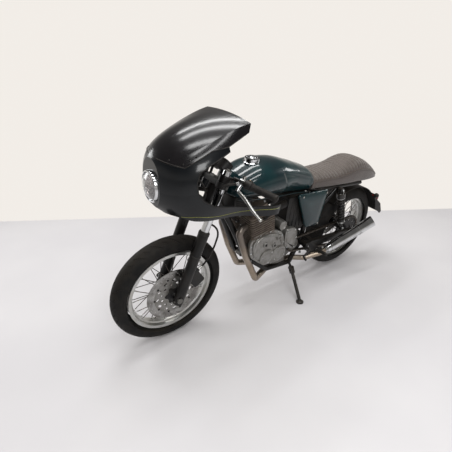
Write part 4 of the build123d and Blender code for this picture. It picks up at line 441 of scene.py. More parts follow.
# ---------------------------------------------------------------- studio
@dataclass(frozen=True)
class Studio:
    """Floor, light and camera."""

    camera_at: Point = (1.360, -1.388, 1.379)
    azimuth: float = math.radians(54.8)
    fall: float = math.radians(24.5)
    roll: float = math.radians(-0.5)
    focal: float = 340.0
    frame_width: float = 452.0
    sensor: float = 36.0
    floor_half: float = 14.0
    wall_at: float = 1.396
    wall_turn: float = math.radians(57.77)
    white: Colour = tone("faf5ef")
    white_strength: float = 0.93
    soft_strength: float = 0.62
    horizon_gloss: float = 0.56
    zenith_gloss: float = 0.12
    strips: int = 5

    def build(self) -> None:
        """Set up everything but the machine."""
        bpy.context.scene.view_settings.view_transform = "Standard"
        self.place_camera()
        self.lay_floor()
        self.hang_lights()
        self.fill_world()

    def place(self, name: str, data: bpy.types.ID) -> bpy.types.Object:
        """Put a new object into the scene."""
        thing = bpy.data.objects.new(name, data)
        bpy.context.scene.collection.objects.link(thing)
        return thing

    def place_camera(self) -> None:
        """Make the camera and point it."""
        level = Vector((-math.sin(self.azimuth), math.cos(self.azimuth), 0.0)) * math.cos(self.fall)
        ahead = level - Vector((0, 0, math.sin(self.fall)))
        right = ahead.cross(Vector((0, 0, 1))).normalized()
        up = right.cross(ahead)
        across = right * math.cos(self.roll) + up * math.sin(self.roll)
        above = up * math.cos(self.roll) - right * math.sin(self.roll)
        camera = self.place("camera", bpy.data.cameras.new("camera"))
        camera.data.sensor_width = self.sensor
        camera.data.lens = self.focal / self.frame_width * self.sensor
        turn = Matrix((across, above, -ahead)).transposed().to_4x4()
        camera.matrix_world = Matrix.Translation(self.camera_at) @ turn
        bpy.context.scene.camera = camera

    def lay_floor(self) -> None:
        """Lay a pale floor that turns white towards the far wall."""
        bm = bmesh.new()
        bmesh.ops.create_grid(bm, x_segments=1, y_segments=1, size=self.floor_half)
        mesh = bpy.data.meshes.new("floor")
        bm.to_mesh(mesh)
        bm.free()
        floor = self.place("floor", mesh)
        material = bpy.data.materials.new("floor")
        material.use_nodes = True
        nodes = material.node_tree.nodes
        wires = Wires(material.node_tree)
        where = wires.add("TexCoord").outputs["Object"]
        cloud = wires.spread(wires.noise(where, 0.9), 0.3, 0.7)
        paint = wires.feed(nodes["Principled BSDF"], {
            "Base Color": wires.mix(cloud, tone("c4c3c6"), tone("cbcacc")),
            "Roughness": 0.5, "Specular IOR Level": 0.25,
        })
        turned = wires.add("Mapping", {"Vector": where, "Rotation": (0, 0, -self.wall_turn)}).outputs[0]
        depth = wires.add("SeparateXYZ", {0: turned}).outputs[1]
        beyond = wires.spread(depth, self.wall_at, self.wall_at + 0.03)
        wall = wires.add("Emission", {"Color": self.white, "Strength": self.white_strength})
        mixed = wires.add("MixShader", {0: beyond, 1: paint.outputs[0], 2: wall.outputs[0]})
        wires.feed(nodes["Material Output"], {"Surface": mixed.outputs[0]})
        mesh.materials.append(material)

    def hang_lights(self) -> None:
        """Hang three soft boxes, and a row of strip lights overhead."""
        boxes = [
            ("key", (2.9, -1.4, 2.3), (0, -0.1, 0.6), 0.9, 34),
            ("fill", (-2.6, -2, 1.7), (0, 0, 0.6), 1.2, 22),
            ("back", (0.6, 3.2, 2.4), (0, 0.3, 0.6), 1.0, 24),
        ]
        for n in range(self.strips):
            x, y = -1.9 + 0.95 * n, 0.4 - 0.35 * n
            boxes.append((f"strip {n}", (x, y, 3.2), (x, y, 0), 0.26, 20))
        for name, at, aim, size, power in boxes:
            lamp = bpy.data.lights.new(name, "AREA")
            lamp.size, lamp.energy = size, power
            if name.startswith("strip"):
                lamp.shape, lamp.size_y = "RECTANGLE", 2
            turn = (Vector(aim) - Vector(at)).to_track_quat("-Z", "Y").to_matrix().to_4x4()
            self.place(name, lamp).matrix_world = Matrix.Translation(at) @ turn

    def fill_world(self) -> None:
        """Show white to the camera and to gloss near the horizon, and light softly from all round."""
        world = bpy.data.worlds.new("studio")
        bpy.context.scene.world = world
        world.use_nodes = True
        wires = Wires(world.node_tree)
        path = wires.add("LightPath").outputs
        height = wires.height(wires.add("TexCoord").outputs["Generated"])
        fall = self.zenith_gloss - self.horizon_gloss
        ceiling = wires.maths("MULTIPLY_ADD", wires.spread(height, 0.02, 0.4), fall, self.horizon_gloss)
        gloss = wires.maths("MAXIMUM", path["Is Glossy Ray"], path["Is Transmission Ray"])
        mirrored = wires.maths("MULTIPLY", gloss, ceiling)
        seen = wires.maths("MULTIPLY", path["Is Camera Ray"], self.white_strength)
        soft = wires.maths("MULTIPLY", path["Is Diffuse Ray"], self.soft_strength)
        strength = wires.maths("MAXIMUM", wires.maths("MAXIMUM", seen, mirrored), soft)
        wires.feed(world.node_tree.nodes["Background"], {"Strength": strength, "Color": self.white})


# ---------------------------------------------------------------- modelling kit
def meshes(count: int) -> tuple[Mesh, ...]:
    """Return new empty meshes."""
    return tuple(bmesh.new() for _ in range(count))


def finish_piece(
    bm: Mesh, name: str, finish: str, body: str = "chassis", replaces: Sequence[str] = (), smooth: float = 38.0
) -> bpy.types.Object:
    """Park a mesh that was made upright in millimetres, dress it and let it ride.

    Args:
        bm: The mesh, freed here.
        name: The piece's name.
        finish: Its finish.
        body: The body that it moves with.
        replaces: Frame nodes that it stands for.
        smooth: The angle in degrees above which an edge stays sharp.

    Returns:
        The finished object.
    """
    bmesh.ops.remove_doubles(bm, verts=bm.verts, dist=0.005)
    bmesh.ops.recalc_face_normals(bm, faces=bm.faces)
    bmesh.ops.transform(bm, matrix=PARK, verts=bm.verts)
    mesh = bpy.data.meshes.new(name)
    bm.to_mesh(mesh)
    bm.free()
    for polygon in mesh.polygons:
        polygon.use_smooth = True
    mesh.set_sharp_from_angle(angle=math.radians(smooth))
    mesh.materials.append(MATERIALS[finish])
    piece = bpy.data.objects.new(name, mesh)
    bpy.context.scene.collection.objects.link(piece)
    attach(piece, body)
    if replaces:
        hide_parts(*replaces)
    log.info("piece %s: %d faces, %s, on %s", name, len(mesh.polygons), finish, body)
    return piece


def merge(bm: Mesh, part: Mesh) -> None:
    """Move a part's faces into another mesh and free the part."""
    spare = bpy.data.meshes.new("part")
    part.to_mesh(spare)
    part.free()
    bm.from_mesh(spare)
    bpy.data.meshes.remove(spare)


def only(kind: type, made: Iterable) -> list:
    """Pick one kind of element out of what an operator made."""
    return [element for element in made if isinstance(element, kind)]


def open_edges(bm: Mesh) -> list:
    """Return the edges that have one face."""
    return [edge for edge in bm.edges if edge.is_boundary]


def cut(bm: Mesh, at: Point, normal: Point, clear: bool = True) -> None:
    """Cut a mesh with a plane, and clear what lies past it unless told not to."""
    parts = [*bm.verts, *bm.edges, *bm.faces]
    bmesh.ops.bisect_plane(bm, geom=parts, plane_co=at, plane_no=normal, clear_outer=clear)


def sided(at: Point, side: int) -> Vector:
    """Return a point or way on a side, given as it is on the left."""
    return Vector((side * at[0], at[1], at[2]))


def circle(count: int, radius: float, start: float = 0.0) -> list[tuple[float, float]]:
    """Return points spaced evenly round a circle, from an angle in radians."""
    turns = [start + math.tau * n / count for n in range(count)]
    return [(radius * math.cos(turn), radius * math.sin(turn)) for turn in turns]


def facing(at: Point, out: Point) -> Matrix:
    """Return the frame whose Z points out from a place."""
    turn = Vector(out).to_track_quat("Z", "Y").to_matrix().to_4x4()
    return Matrix.Translation(Vector(at)) @ turn


def lathe(bm: Mesh, profile: Sequence[Point], at: Point, out: Point, steps: int = 32) -> None:
    """Turn a profile round an axis.

    Args:
        bm: The mesh to add to.
        profile: Radius and height of each point.
        at: Where the axis starts.
        out: The way that it points.
        steps: Faces round a full turn.
    """
    place = facing(at, out)
    points = [bm.verts.new(place @ Vector((r, 0.0, h))) for r, h in profile]
    edges = [bm.edges.new(pair) for pair in zip(points, points[1:])]
    bmesh.ops.spin(
        bm, geom=[*points, *edges], cent=Vector(at), axis=Vector(out).normalized(),
        angle=math.tau, steps=steps, use_merge=True,
    )


def tube(bm: Mesh, path: Sequence[Point], radius: float | Sequence[float], sides: int = 10) -> None:
    """Sweep a capped round section along a path, turning it no more than the path turns."""
    points = [Vector(p) for p in path]
    radii = [radius] * len(points) if isinstance(radius, (int, float)) else list(radius)
    runs = [(b - a).normalized() for a, b in zip(points, points[1:])]
    aims = [runs[0], *[(a + b).normalized() for a, b in zip(runs, runs[1:])], runs[-1]]
    start = facing(points[0], aims[0])
    made = bmesh.ops.create_circle(bm, segments=sides, radius=radii[0], cap_ends=True, matrix=start)
    loop = list({e for v in made["verts"] for e in v.link_edges})
    for index in range(1, len(points)):
        made = bmesh.ops.extrude_edge_only(bm, edges=loop)["geom"]
        verts = only(VERT, made)
        loop = [e for e in only(EDGE, made) if all(v in verts for v in e.verts)]
        turn = aims[index - 1].rotation_difference(aims[index]).to_matrix().to_4x4()
        size = Matrix.Scale(radii[index] / radii[index - 1], 4)
        move = Matrix.Translation(points[index]) @ turn @ size @ Matrix.Translation(-points[index - 1])
        bmesh.ops.transform(bm, matrix=move, verts=verts)
    bmesh.ops.holes_fill(bm, edges=loop, sides=0)


def soft_path(path: Sequence[Point], passes: int = 3) -> list[Vector]:
    """Round an open path's corners and keep its ends."""
    points = [Vector(p) for p in path]
    for _ in range(passes):
        inner = [a.lerp(b, t) for a, b in zip(points, points[1:]) for t in (0.25, 0.75)]
        points = [points[0], *inner, points[-1]]
    return points


def plate(bm: Mesh, outline: Outline, place: Matrix, depth: float, bevel: float = 0.0) -> None:
    """Extrude an outline in a frame's XY plane by a depth along its Z, with its rim bevelled."""
    face = bm.faces.new([bm.verts.new(place @ Vector((u, v, 0.0))) for u, v in outline])
    made = bmesh.ops.extrude_face_region(bm, geom=[face])["geom"]
    up = place.to_3x3() @ Vector((0, 0, depth))
    bmesh.ops.translate(bm, vec=up, verts=only(VERT, made))
    if bevel:
        rim = only(EDGE, made)
        bmesh.ops.bevel(
            bm, geom=rim, offset=bevel, offset_type="OFFSET", affect="EDGES", segments=2, profile=0.5, material=-1
        )


def cap_screw(bm: Mesh, at: Point, out: Point, radius: float, height: float) -> None:
    """Add a socket-headed screw on a washer."""
    profile = (
        (0.0, height * 0.45), (radius * 0.48, height * 0.45), (radius * 0.52, height), (radius * 0.9, height),
        (radius, height * 0.8), (radius, 1.2), (radius * 1.35, 1.2), (radius * 1.35, -0.6),
    )
    lathe(bm, profile, at, out, 12)


def hex_nut(bm: Mesh, at: Point, out: Point, radius: float, height: float, stud: float) -> None:
    """Add a six-sided nut on a washer with its stud's end showing."""
    lathe(bm, ((0, height), (radius * 0.9, height), (radius, height * 0.8), (radius, 0)), at, out, 6)
    lathe(bm, ((0, height + stud), (radius * 0.42, height + stud), (radius * 0.5, height - 1)), at, out, 12)
    lathe(bm, ((radius * 1.35, 1.6), (radius * 1.35, -0.8)), at, out, 20)


def stadium(half: float, radius: float, waist: float, steps: int) -> Outline:
    """Return the outline of a chain plate: two round ends and a narrower waist."""
    ends = []
    for centre, start in ((half, -90), (-half, 90)):
        for n in range(steps + 1):
            a = math.radians(start + 180 * n / steps)
            ends.append((centre + radius * math.cos(a), radius * math.sin(a)))
        ends.append((0.0, waist if centre > 0 else -waist))
    return ends


def band_outline(a: Point, ra: float, b: Point, rb: float, steps: int) -> Outline:
    """Return the outline of a belt round two circles in one plane."""
    run = math.hypot(b[0] - a[0], b[1] - a[1])
    along = math.atan2(b[1] - a[1], b[0] - a[0])
    lean = math.acos((ra - rb) / run)
    outline = []
    far = (a, ra, along + lean, math.tau - 2 * lean)
    for centre, radius, start, sweep in (far, (b, rb, along - lean, 2 * lean)):
        for n in range(steps + 1):
            t = start + sweep * n / steps
            outline.append((centre[0] + radius * math.cos(t), centre[1] + radius * math.sin(t)))
    return outline


def soften(outline: Outline, passes: int = 2) -> Outline:
    """Round a closed outline by cutting each corner, more than once if asked."""
    for _ in range(passes):
        pairs = zip(outline, [*outline[1:], outline[0]])
        outline = [(a[0] + (b[0] - a[0]) * t, a[1] + (b[1] - a[1]) * t) for a, b in pairs for t in (0.25, 0.75)]
    return outline


def shrink(outline: Outline, by: float) -> Outline:
    """Move a closed anticlockwise outline's points inwards."""
    moved = []
    for n, at in enumerate(outline):
        run = Vector(outline[(n + 1) % len(outline)]) - Vector(outline[n - 1])
        inward = Vector((-run.y, run.x)).normalized()
        moved.append((at[0] + inward.x * by, at[1] + inward.y * by))
    return moved


def side_frame(x: float, side: int = 1) -> Matrix:
    """Return the frame whose X is the machine's Y, Y its Z, and Z points outboard at a side."""
    return Matrix(((0, 0, side, x * side), (1, 0, 0, 0), (0, 1, 0, 0), (0, 0, 0, 1)))


class Surface:
    """A frame node's surface in upright millimetres, for laying trim on."""

    def __init__(self, node: str) -> None:
        """Read the node's mesh."""
        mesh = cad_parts[node].data
        verts = [UPRIGHT @ v.co for v in mesh.vertices]
        self.tree = BVHTree.FromPolygons(verts, [tuple(p.vertices) for p in mesh.polygons])

    def line(self, path: Sequence[Point], out: float, steps: int) -> list[Vector]:
        """Lay a side outline on the surface from the left.

        Args:
            path: The (y, z) points of the outline.
            out: How far to stand off the surface.
            steps: Points laid on each run.

        Returns:
            The points found, in order.
        """
        laid = []
        for a, b in zip(path, path[1:]):
            for n in range(steps):
                at = Vector(a).lerp(Vector(b), n / steps)
                hit, normal, _, _ = self.tree.ray_cast(Vector((400, at[0], at[1])), Vector((-1, 0, 0)))
                if hit and hit.x > 0:
                    laid.append(hit + normal * (out if normal.x > 0 else -out))
        return laid


def perforated(bm: Mesh, outer: float, inner: float, holes: Sequence[Point], thickness: float, at: Point) -> None:
    """Add a flat annular plate with round or long holes, facing +X.

    Args:
        bm: The mesh to add to.
        outer: Outer radius.
        inner: Radius of the middle opening.
        holes: Each hole's distance from the middle, angle in degrees, radial and crosswise half sizes.
        thickness: Plate thickness along X.
        at: The plate's middle.
    """
    curve = bpy.data.curves.new("plate", "CURVE")
    curve.dimensions, curve.fill_mode, curve.extrude, curve.resolution_u = "2D", "BOTH", thickness / 2, 3
    for reach, angle, radial, cross in ((0.0, 0.0, outer, outer), (0.0, 0.0, inner, inner), *holes):
        turn = math.radians(angle)
        spline = curve.splines.new("POLY")
        count = 96 if reach == 0.0 else 14
        spline.points.add(count - 1)
        for n, point in enumerate(spline.points):
            t = math.tau * n / count
            u, v = reach + radial * math.cos(t), cross * math.sin(t)
            point.co = (u * math.cos(turn) - v * math.sin(turn), u * math.sin(turn) + v * math.cos(turn), 0, 1)
        spline.use_cyclic_u = True
    holder = bpy.data.objects.new("plate", curve)
    mesh = bpy.data.meshes.new_from_object(holder)
    bpy.data.objects.remove(holder)
    mesh.transform(Matrix.Translation(Vector(at)) @ side_frame(0.0))
    bm.from_mesh(mesh)
    bpy.data.meshes.remove(mesh)


# ---------------------------------------------------------------- wheels
@dataclass(frozen=True)
class Wheel:
    """Detail on one wheel: tyre tread, spoke nipples, disc and hub caps."""

    name: str
    axle: Vector
    crown: float
    tread_skip: int
    disc_x: float
    disc_r: float
    disc_band: float
    cap_x: float
    tyre_r: float = 319.0
    bead_r: float = 245.0
    steps: int = 240
    row_deg: float = 7.5
    groove_depth: float = 2.0
    spoke_pairs: int = 9
    spoke_sweep: float = 50.0
    nipple_r: tuple[float, float] = (213.5, 197)
    valve_turn: float = 0.9
    drill_count: int = 24
    drill_rows: int = 3
    drill_step: float = 11.5
    drill_r: float = 3.3
    slot_count: int = 12
    slot_rows: tuple[Point, ...] = ((0.86, 0, 8, 13), (0.64, 15, 7, 8))
    band_thickness: float = 4.6
    ring_thickness: float = 5.4
    ring_inner: float = 41.0
    lobe_r: float = 46.0
    lobe_rise: float = 9.0

    @property
    def body(self) -> str:
        """The body that the wheel's pieces move with."""
        return f"{self.name}_wheel"

    def build(self) -> None:
        """Make every piece of the wheel."""
        self.make_tyre()
        self.make_nipples()
        self.make_disc()

    def is_groove(self, middle: Vector) -> bool:
        """Tell whether a face, from its middle's place round the axle, is part of a groove."""
        radius = math.hypot(middle.y, middle.z)
        lean = math.degrees(math.atan2(abs(middle.x), radius - self.tyre_r + self.crown))
        column = round(math.degrees(math.atan2(middle.z, middle.y)) / (360 / self.steps) - 0.5)
        row, half = int(lean // self.row_deg), self.tread_skip // 2
        shift = column + (row if middle.x > 0 else row + half)
        long_groove = 0 < row < 7 and shift % self.tread_skip == 0
        short_groove = 1 < row < 5 and (shift + half) % self.tread_skip == 0
        return radius > self.bead_r + 20 and (long_groove or short_groove)

    def make_tyre(self) -> None:
        """Turn the carcass, then sink slanting grooves in its tread."""
        bm = bmesh.new()
        angles = [math.radians(n * self.row_deg) for n in range(-14, 15)]
        base, crown = self.tyre_r - self.crown, self.crown
        foot, bead = self.bead_r, self.crown * 0.5
        arc = [(base + crown * math.cos(a), crown * math.sin(a)) for a in angles]
        profile = [
            (foot, -bead), (foot + 6, -bead - 5), *arc, (foot + 6, bead + 5), (foot, bead),
            (foot + 14, bead * 0.6), (foot + 14, -bead * 0.6), (foot, -bead),
        ]
        lathe(bm, profile, self.axle, (1, 0, 0), self.steps)
        bmesh.ops.remove_doubles(bm, verts=bm.verts, dist=0.01)
        bmesh.ops.recalc_face_normals(bm, faces=bm.faces)
        grooved = [face for face in bm.faces if self.is_groove(face.calc_center_median() - self.axle)]
        bmesh.ops.inset_region(bm, faces=grooved, thickness=1.5, depth=-self.groove_depth, use_even_offset=True)
        finish_piece(bm, f"{self.name}_tread_tyre", f"{self.name} rubber", self.body, (f"{self.name}_tyre",), 30)

    def make_nipples(self) -> None:
        """Add a nipple where each spoke meets the rim, a valve and the hub's end caps."""
        bm, caps = meshes(2)
        for side in SIDES:
            for sweep in (self.spoke_sweep, -self.spoke_sweep):
                for n in range(self.spoke_pairs):
                    turn = math.radians((n + side * 0.25) * 360 / self.spoke_pairs + sweep)
                    way = Vector((0.0, math.cos(turn), math.sin(turn)))
                    seat = self.axle + way * self.nipple_r[0] + Vector((side * 9, 0, 0))
                    inner = self.axle + way * self.nipple_r[1] + Vector((side * 10.5, 0, 0))
                    tube(bm, (seat, inner), (3.6, 3), 6)
            profile = ((12, 0), (30, 0), (33, 3), (33, 6), (14, 10), (12, 10))
            lathe(caps, profile, self.axle + Vector((side * self.cap_x, 0, 0)), (side, 0, 0), 36)
        way = Vector((0.0, math.cos(self.valve_turn), math.sin(self.valve_turn)))
        tube(bm, (self.axle + way * 213, self.axle + way * 179), (4.2, 3.4), 8)
        finish_piece(bm, f"{self.name}_nipples", "bright steel", self.body)
        finish_piece(caps, f"{self.name}_hub_caps", "bright steel", self.body)

    def make_disc(self) -> None:
        """Cut the drilled friction band and the slotted ring, and bolt on the lobed carrier."""
        band = self.disc_r - self.disc_band
        middle = self.axle + Vector((self.disc_x, 0, 0))
        drilled = [
            (band + 9 + row * self.drill_step, 360 * n / self.drill_count + row * 5, self.drill_r, self.drill_r)
            for n in range(self.drill_count) for row in range(self.drill_rows)
        ]
        slots = [
            (band * share, 360 * n / self.slot_count + turn, *radii)
            for share, turn, *radii in self.slot_rows for n in range(self.slot_count)
        ]
        bm, ring, carrier = meshes(3)
        perforated(bm, self.disc_r, band, drilled, self.band_thickness, middle)
        perforated(ring, band + 3, self.ring_inner, slots, self.ring_thickness, middle)
        side = 1 if self.disc_x > 0 else -1
        lobes = []
        for y, z in circle(120, 1.0):
            reach = self.lobe_r + self.lobe_rise * max(math.cos(6 * math.atan2(z, y)), -0.5)
            lobes.append((self.axle.y + reach * y, self.axle.z + reach * z))
        plate(carrier, lobes, side_frame(abs(self.disc_x) + 2.7, side), 4, 1.2)
        for y, z in circle(6, 47):
            cap_screw(carrier, middle + Vector((6.6 * side, y, z)), (side, 0, 0), 4.6, 2.6)
        for y, z in circle(10, band + 0.5):
            at = middle + Vector((2.6 * side, y, z))
            lathe(carrier, ((0, 2.4), (4.4, 2.4), (6.4, 1.2), (6.4, -1.0)), at, (side, 0, 0), 14)
        name = f"{self.name}_friction_band"
        finish_piece(bm, name, f"{self.name} disc steel", self.body, (f"{self.name}_disc",))
        finish_piece(ring, f"{self.name}_disc_ring", "cover alloy", self.body)
        finish_piece(carrier, f"{self.name}_disc_carrier", "black cast", self.body)


# ---------------------------------------------------------------- chain
def point_along(loop: Sequence[Vector], lengths: Sequence[float], distance: float) -> Vector:
    """Return the point at a distance along a closed line, from its running lengths."""
    distance %= lengths[-1]
    k = next(i for i in range(1, len(lengths)) if lengths[i] >= distance)
    part = (distance - lengths[k - 1]) / max(lengths[k] - lengths[k - 1], 1e-6)
    return loop[k - 1].lerp(loop[k], part)


@dataclass(frozen=True)
class Chain:
    """The roller chain, link by link round both sprockets."""

    x: float = 84.0
    rear_at: tuple[float, float] = (705, 319)
    rear_r: float = 106.6
    drive_at: tuple[float, float] = (140, 372)
    drive_r: float = 48.6
    links: int = 104
    pin_half: float = 7.6

    def build(self) -> None:
        """Lay plates and rollers along the belt line."""
        outline = band_outline(self.rear_at, self.rear_r, self.drive_at, self.drive_r, 60)
        loop = [Vector((0.0, y, z)) for y, z in (*outline, outline[0])]
        lengths = [0.0]
        for a, b in zip(loop, loop[1:]):
            lengths.append(lengths[-1] + (b - a).length)
        pitch = lengths[-1] / self.links
        bm = bmesh.new()
        for n in range(self.links):
            a, b = (point_along(loop, lengths, k * pitch) for k in (n, n + 1))
            middle, turn = (a + b) / 2, math.atan2(b.z - a.z, b.y - a.y)
            offset = 6.2 if n % 2 else 4.4
            for side in SIDES:
                place = Matrix.Translation((self.x + side * offset, middle.y, middle.z)) @ side_frame(0, side)
                plate(bm, stadium(pitch / 2, 7.2, 5, 4), place @ Matrix.Rotation(turn, 4, "Z"), 1.5)
            tube(bm, ((self.x - self.pin_half, a.y, a.z), (self.x + self.pin_half, a.y, a.z)), 3.6, 8)
        finish_piece(bm, "drive_chain_links", "chain steel", replaces=("chain",), smooth=30)


# ---------------------------------------------------------------- bodywork
def smooth_rows(rows: Sequence[Point], y: float) -> list[float]:
    """Return a table's columns at a station, smoothly between its rows.

    Args:
        rows: Rows that start with their station, in order.
        y: The station wanted.

    Returns:
        The other columns there.
    """
    k = max(n for n, row in enumerate(rows[:-1]) if row[0] <= max(y, rows[0][0]))
    a, b = rows[k], rows[k + 1]
    before, after = rows[max(k - 1, 0)], rows[min(k + 2, len(rows) - 1)]
    t = min(max((y - a[0]) / (b[0] - a[0]), 0.0), 1.0)
    values = []
    for p0, p1, p2, p3 in zip(before[1:], a[1:], b[1:], after[1:]):
        m1, m2 = (p2 - p0) / 2, (p3 - p1) / 2
        h = (2 * t**3 - 3 * t**2 + 1) * p1 + (t**3 - 2 * t**2 + t) * m1
        values.append(h + (3 * t**2 - 2 * t**3) * p2 + (t**3 - t**2) * m2)
    return values


def step(value: float, low: float, high: float) -> float:
    """Return a smooth step from 0 at low to 1 at high."""
    t = min(max((value - low) / (high - low), 0.0), 1.0)
    return t * t * (3 - 2 * t)


def bow(value: float, power: float) -> float:
    """Return a sine or cosine drawn towards a squarer outline."""
    return math.copysign(abs(value) ** power, value)


def rounding(from_end: float, length: float) -> float:
    """Return how full a hull is near its end, as a quarter ellipse from 0 to 1."""
    return math.sqrt(max(0.0, 1.0 - (1.0 - min(from_end / length, 1.0)) ** 2))


def hull(bm: Mesh, stations: Sequence[float], around: int, section: Callable[[float, float], Vector]) -> None:
    """Extrude a closed ring through stations and close both ends.

    Args:
        bm: The mesh to add to.
        stations: Where the rings go, along Y.
        around: Points in each ring.
        section: Gives the point at a station and a turn round the ring.
    """
    ring = bmesh.ops.create_circle(bm, segments=around, radius=1.0)["verts"]
    loop = list({e for v in ring for e in v.link_edges})
    bmesh.ops.holes_fill(bm, edges=loop, sides=0)
    order = {v: n for n, v in enumerate(ring)}
    for index, y in enumerate(stations):
        if index:
            made = bmesh.ops.extrude_edge_only(bm, edges=loop)["geom"]
            old = {v: next(e.other_vert(v) for e in v.link_edges if e.other_vert(v) in order)
                   for v in only(VERT, made)}
            order = {v: order[was] for v, was in old.items()}
            loop = [e for e in only(EDGE, made) if all(v in order for v in e.verts)]
        for v, n in order.items():
            v.co = section(y, math.tau * n / around)
    bmesh.ops.holes_fill(bm, edges=loop, sides=0)


@dataclass(frozen=True)
class Tank:
    """The fuel tank with knee recesses, rim seam and filler surround.

    Each row is a station along Y, then the height and half width of the floor, the height and
    half width of the widest line, and the height of the top. The powers square the section,
    in width and in height, above the widest line and then below it.
    """

    rows: tuple[Point, ...] = (
        (-384, 812, 60, 848, 92, 888),
        (-335, 800, 94, 852, 132, 926),
        (-216, 790, 112, 862, 152, 964),
        (-70, 772, 104, 858, 144, 960),
        (50, 756, 88, 850, 122, 926),
        (150, 742, 84, 826, 112, 890),
        (206, 736, 80, 800, 102, 858),
    )
    powers: tuple[float, ...] = (0.82, 0.9, 0.4, 0.7)
    nose: tuple[float, ...] = (-384, -382, -378, -372, -364)
    tail: tuple[float, ...] = (184, 190, 196, 201, 204, 206)
    knee_front: float = -112.0
    knee_slope: float = 0.32
    knee_depth: float = 8.0
    cap_at: Point = (0.0, -216, 958)
    cap_rise: float = 22.0
    cap_r: float = 40.0

    def point(self, y: float, turn: float) -> Vector:
        """Return the skin's point at a station and a turn."""
        low, low_half, wide, half, top = smooth_rows(self.rows, y)
        end = min(rounding(y - self.rows[0][0], 34), rounding(self.rows[-1][0] - y, 26))
        end = 0.55 + 0.45 * end
        c, n = math.cos(turn), math.sin(turn)
        if n >= 0:
            x, z = half * bow(c, self.powers[0]), wide + (top - wide) * bow(n, self.powers[1])
        else:
            x = (low_half + (half - low_half) * (1 + n)) * bow(c, self.powers[2])
            z = wide + (wide - low) * bow(n, self.powers[3])
        front = self.knee_front + (950 - z) * self.knee_slope
        rear = step(y, front, front + 13) * (1 - step(y, 150, 196))
        side = step(abs(x), half * 0.55, half * 0.8)
        side *= step(z, low + 6, low + 26) * (1 - step(z, top - 56, top - 40))
        x -= math.copysign(self.knee_depth * rear * side, x)
        return Vector((x * end, y, wide + (z - wide) * end))

    def build(self) -> None:
        """Make the skin, its rim and the cap's dotted ring."""
        skin, seam, chrome, dark, screws = meshes(5)
        hull(skin, [*self.nose, *[-354 + 6 * n for n in range(89)], *self.tail], 88, self.point)
        for side in SIDES:
            path = []
            for y in [-350 + 17.5 * n for n in range(31)]:
                low, low_half = smooth_rows(self.rows, y)[:2]
                path.append((side * (low_half + 3.6), y, low + 1.5))
            tube(seam, path, 2.6, 8)
        up, ring = (0, 0, 1), self.cap_r + 1
        profile = ((ring + 8, -10), (ring + 8, 3), (ring + 5, 5), (ring, 5), (ring, -4))
        lathe(chrome, profile, self.cap_at, (0, -0.02, 1), 48)
        top = Vector(self.cap_at) + Vector((0, 0, self.cap_rise))
        lathe(chrome, ((0, 3.5), (15, 3.5), (17, 2), (19, -1)), top, up, 32)
        plate(chrome, [(-5, -34), (5, -34), (7, -20), (7, 12), (-7, 12), (-7, -20)], facing(top, up), 5, 1.0)
        lathe(dark, ((21, -0.5), (21, 1.2), (35, 1.2), (35, -0.5)), top, up, 40)
        for x, y in circle(12, 28):
            cap_screw(screws, top + Vector((x, y, 1.0)), up, 3, 2.6)
        finish_piece(skin, "tank_skin", "tank paint", replaces=("fuel_tank",), smooth=60)
        finish_piece(seam, "tank_rim_seam", "tank paint")
        finish_piece(chrome, "filler_surround", "chrome")
        finish_piece(dark, "filler_dark_ring", "cap ring")
        finish_piece(screws, "filler_screws", "bright steel")


@dataclass(frozen=True)
class SidePanels:
    """The two bulged side covers with a rolled edge and three screws."""

    outline: Outline = (
        (98, 741), (336, 728), (343, 720), (320, 508), (300, 485), (208, 490), (196, 498), (88, 722), (88, 734),
    )
    foot_x: float = 104.5
    bulge: float = 15.5
    roll: float = 62.0
    skirt: float = 9.0
    screws: Outline = ((116, 724), (326, 712), (302, 500))
    grid_from: Point = (0, 92, 484)
    grid_step: float = 6.6

    def rise(self, y: float, z: float) -> float:
        """Return how far out the panel stands at a point of its outline's plane."""
        nearest, at = math.inf, Vector((y, z))
        for a, b in zip(self.outline, self.outline[1:] + self.outline[:1]):
            start, run = Vector(a), Vector(b) - Vector(a)
            t = min(max((at - start).dot(run) / run.length_squared, 0.0), 1.0)
            nearest = min(nearest, (start + run * t - at).length)
        return self.bulge * rounding(nearest, self.roll)

    def panel(self, side: int) -> Mesh:
        """Cut a panel from its outline into a fine grid, round it and give it a skirt."""
        part = bmesh.new()
        part.faces.new([part.verts.new((0.0, y, z)) for y, z in self.outline])
        for normal in (Vector((0, 1, 0)), Vector((0, 0, 1))):
            for n in range(40):
                cut(part, Vector(self.grid_from) + normal * self.grid_step * n, normal, False)
        for vert in part.verts:
            vert.co.x = side * (self.foot_x + self.rise(vert.co.y, vert.co.z))
        made = bmesh.ops.extrude_edge_only(part, edges=open_edges(part))["geom"]
        bmesh.ops.translate(part, vec=(-side * self.skirt, 0, 0), verts=only(VERT, made))
        bmesh.ops.holes_fill(part, edges=open_edges(part), sides=0)
        return part

    def build(self) -> None:
        """Make both panels with their screws and grommets."""
        bm, screws, rings = meshes(3)
        for side in SIDES:
            merge(bm, self.panel(side))
            for y, z in self.screws:
                at = (side * (self.foot_x + self.rise(y, z) - 0.6), y, z)
                cap_screw(screws, at, (side, 0, 0), 5, 2.8)
                lathe(rings, ((7.2, 1.4), (9.4, 1.2), (9.6, -1.0)), at, (side, 0, 0), 16)
        finish_piece(bm, "side_panels", "tank paint", replaces=("side_covers",), smooth=40)
        finish_piece(screws, "side_panel_screws", "bright steel")
        finish_piece(rings, "side_panel_grommets", "rubber")


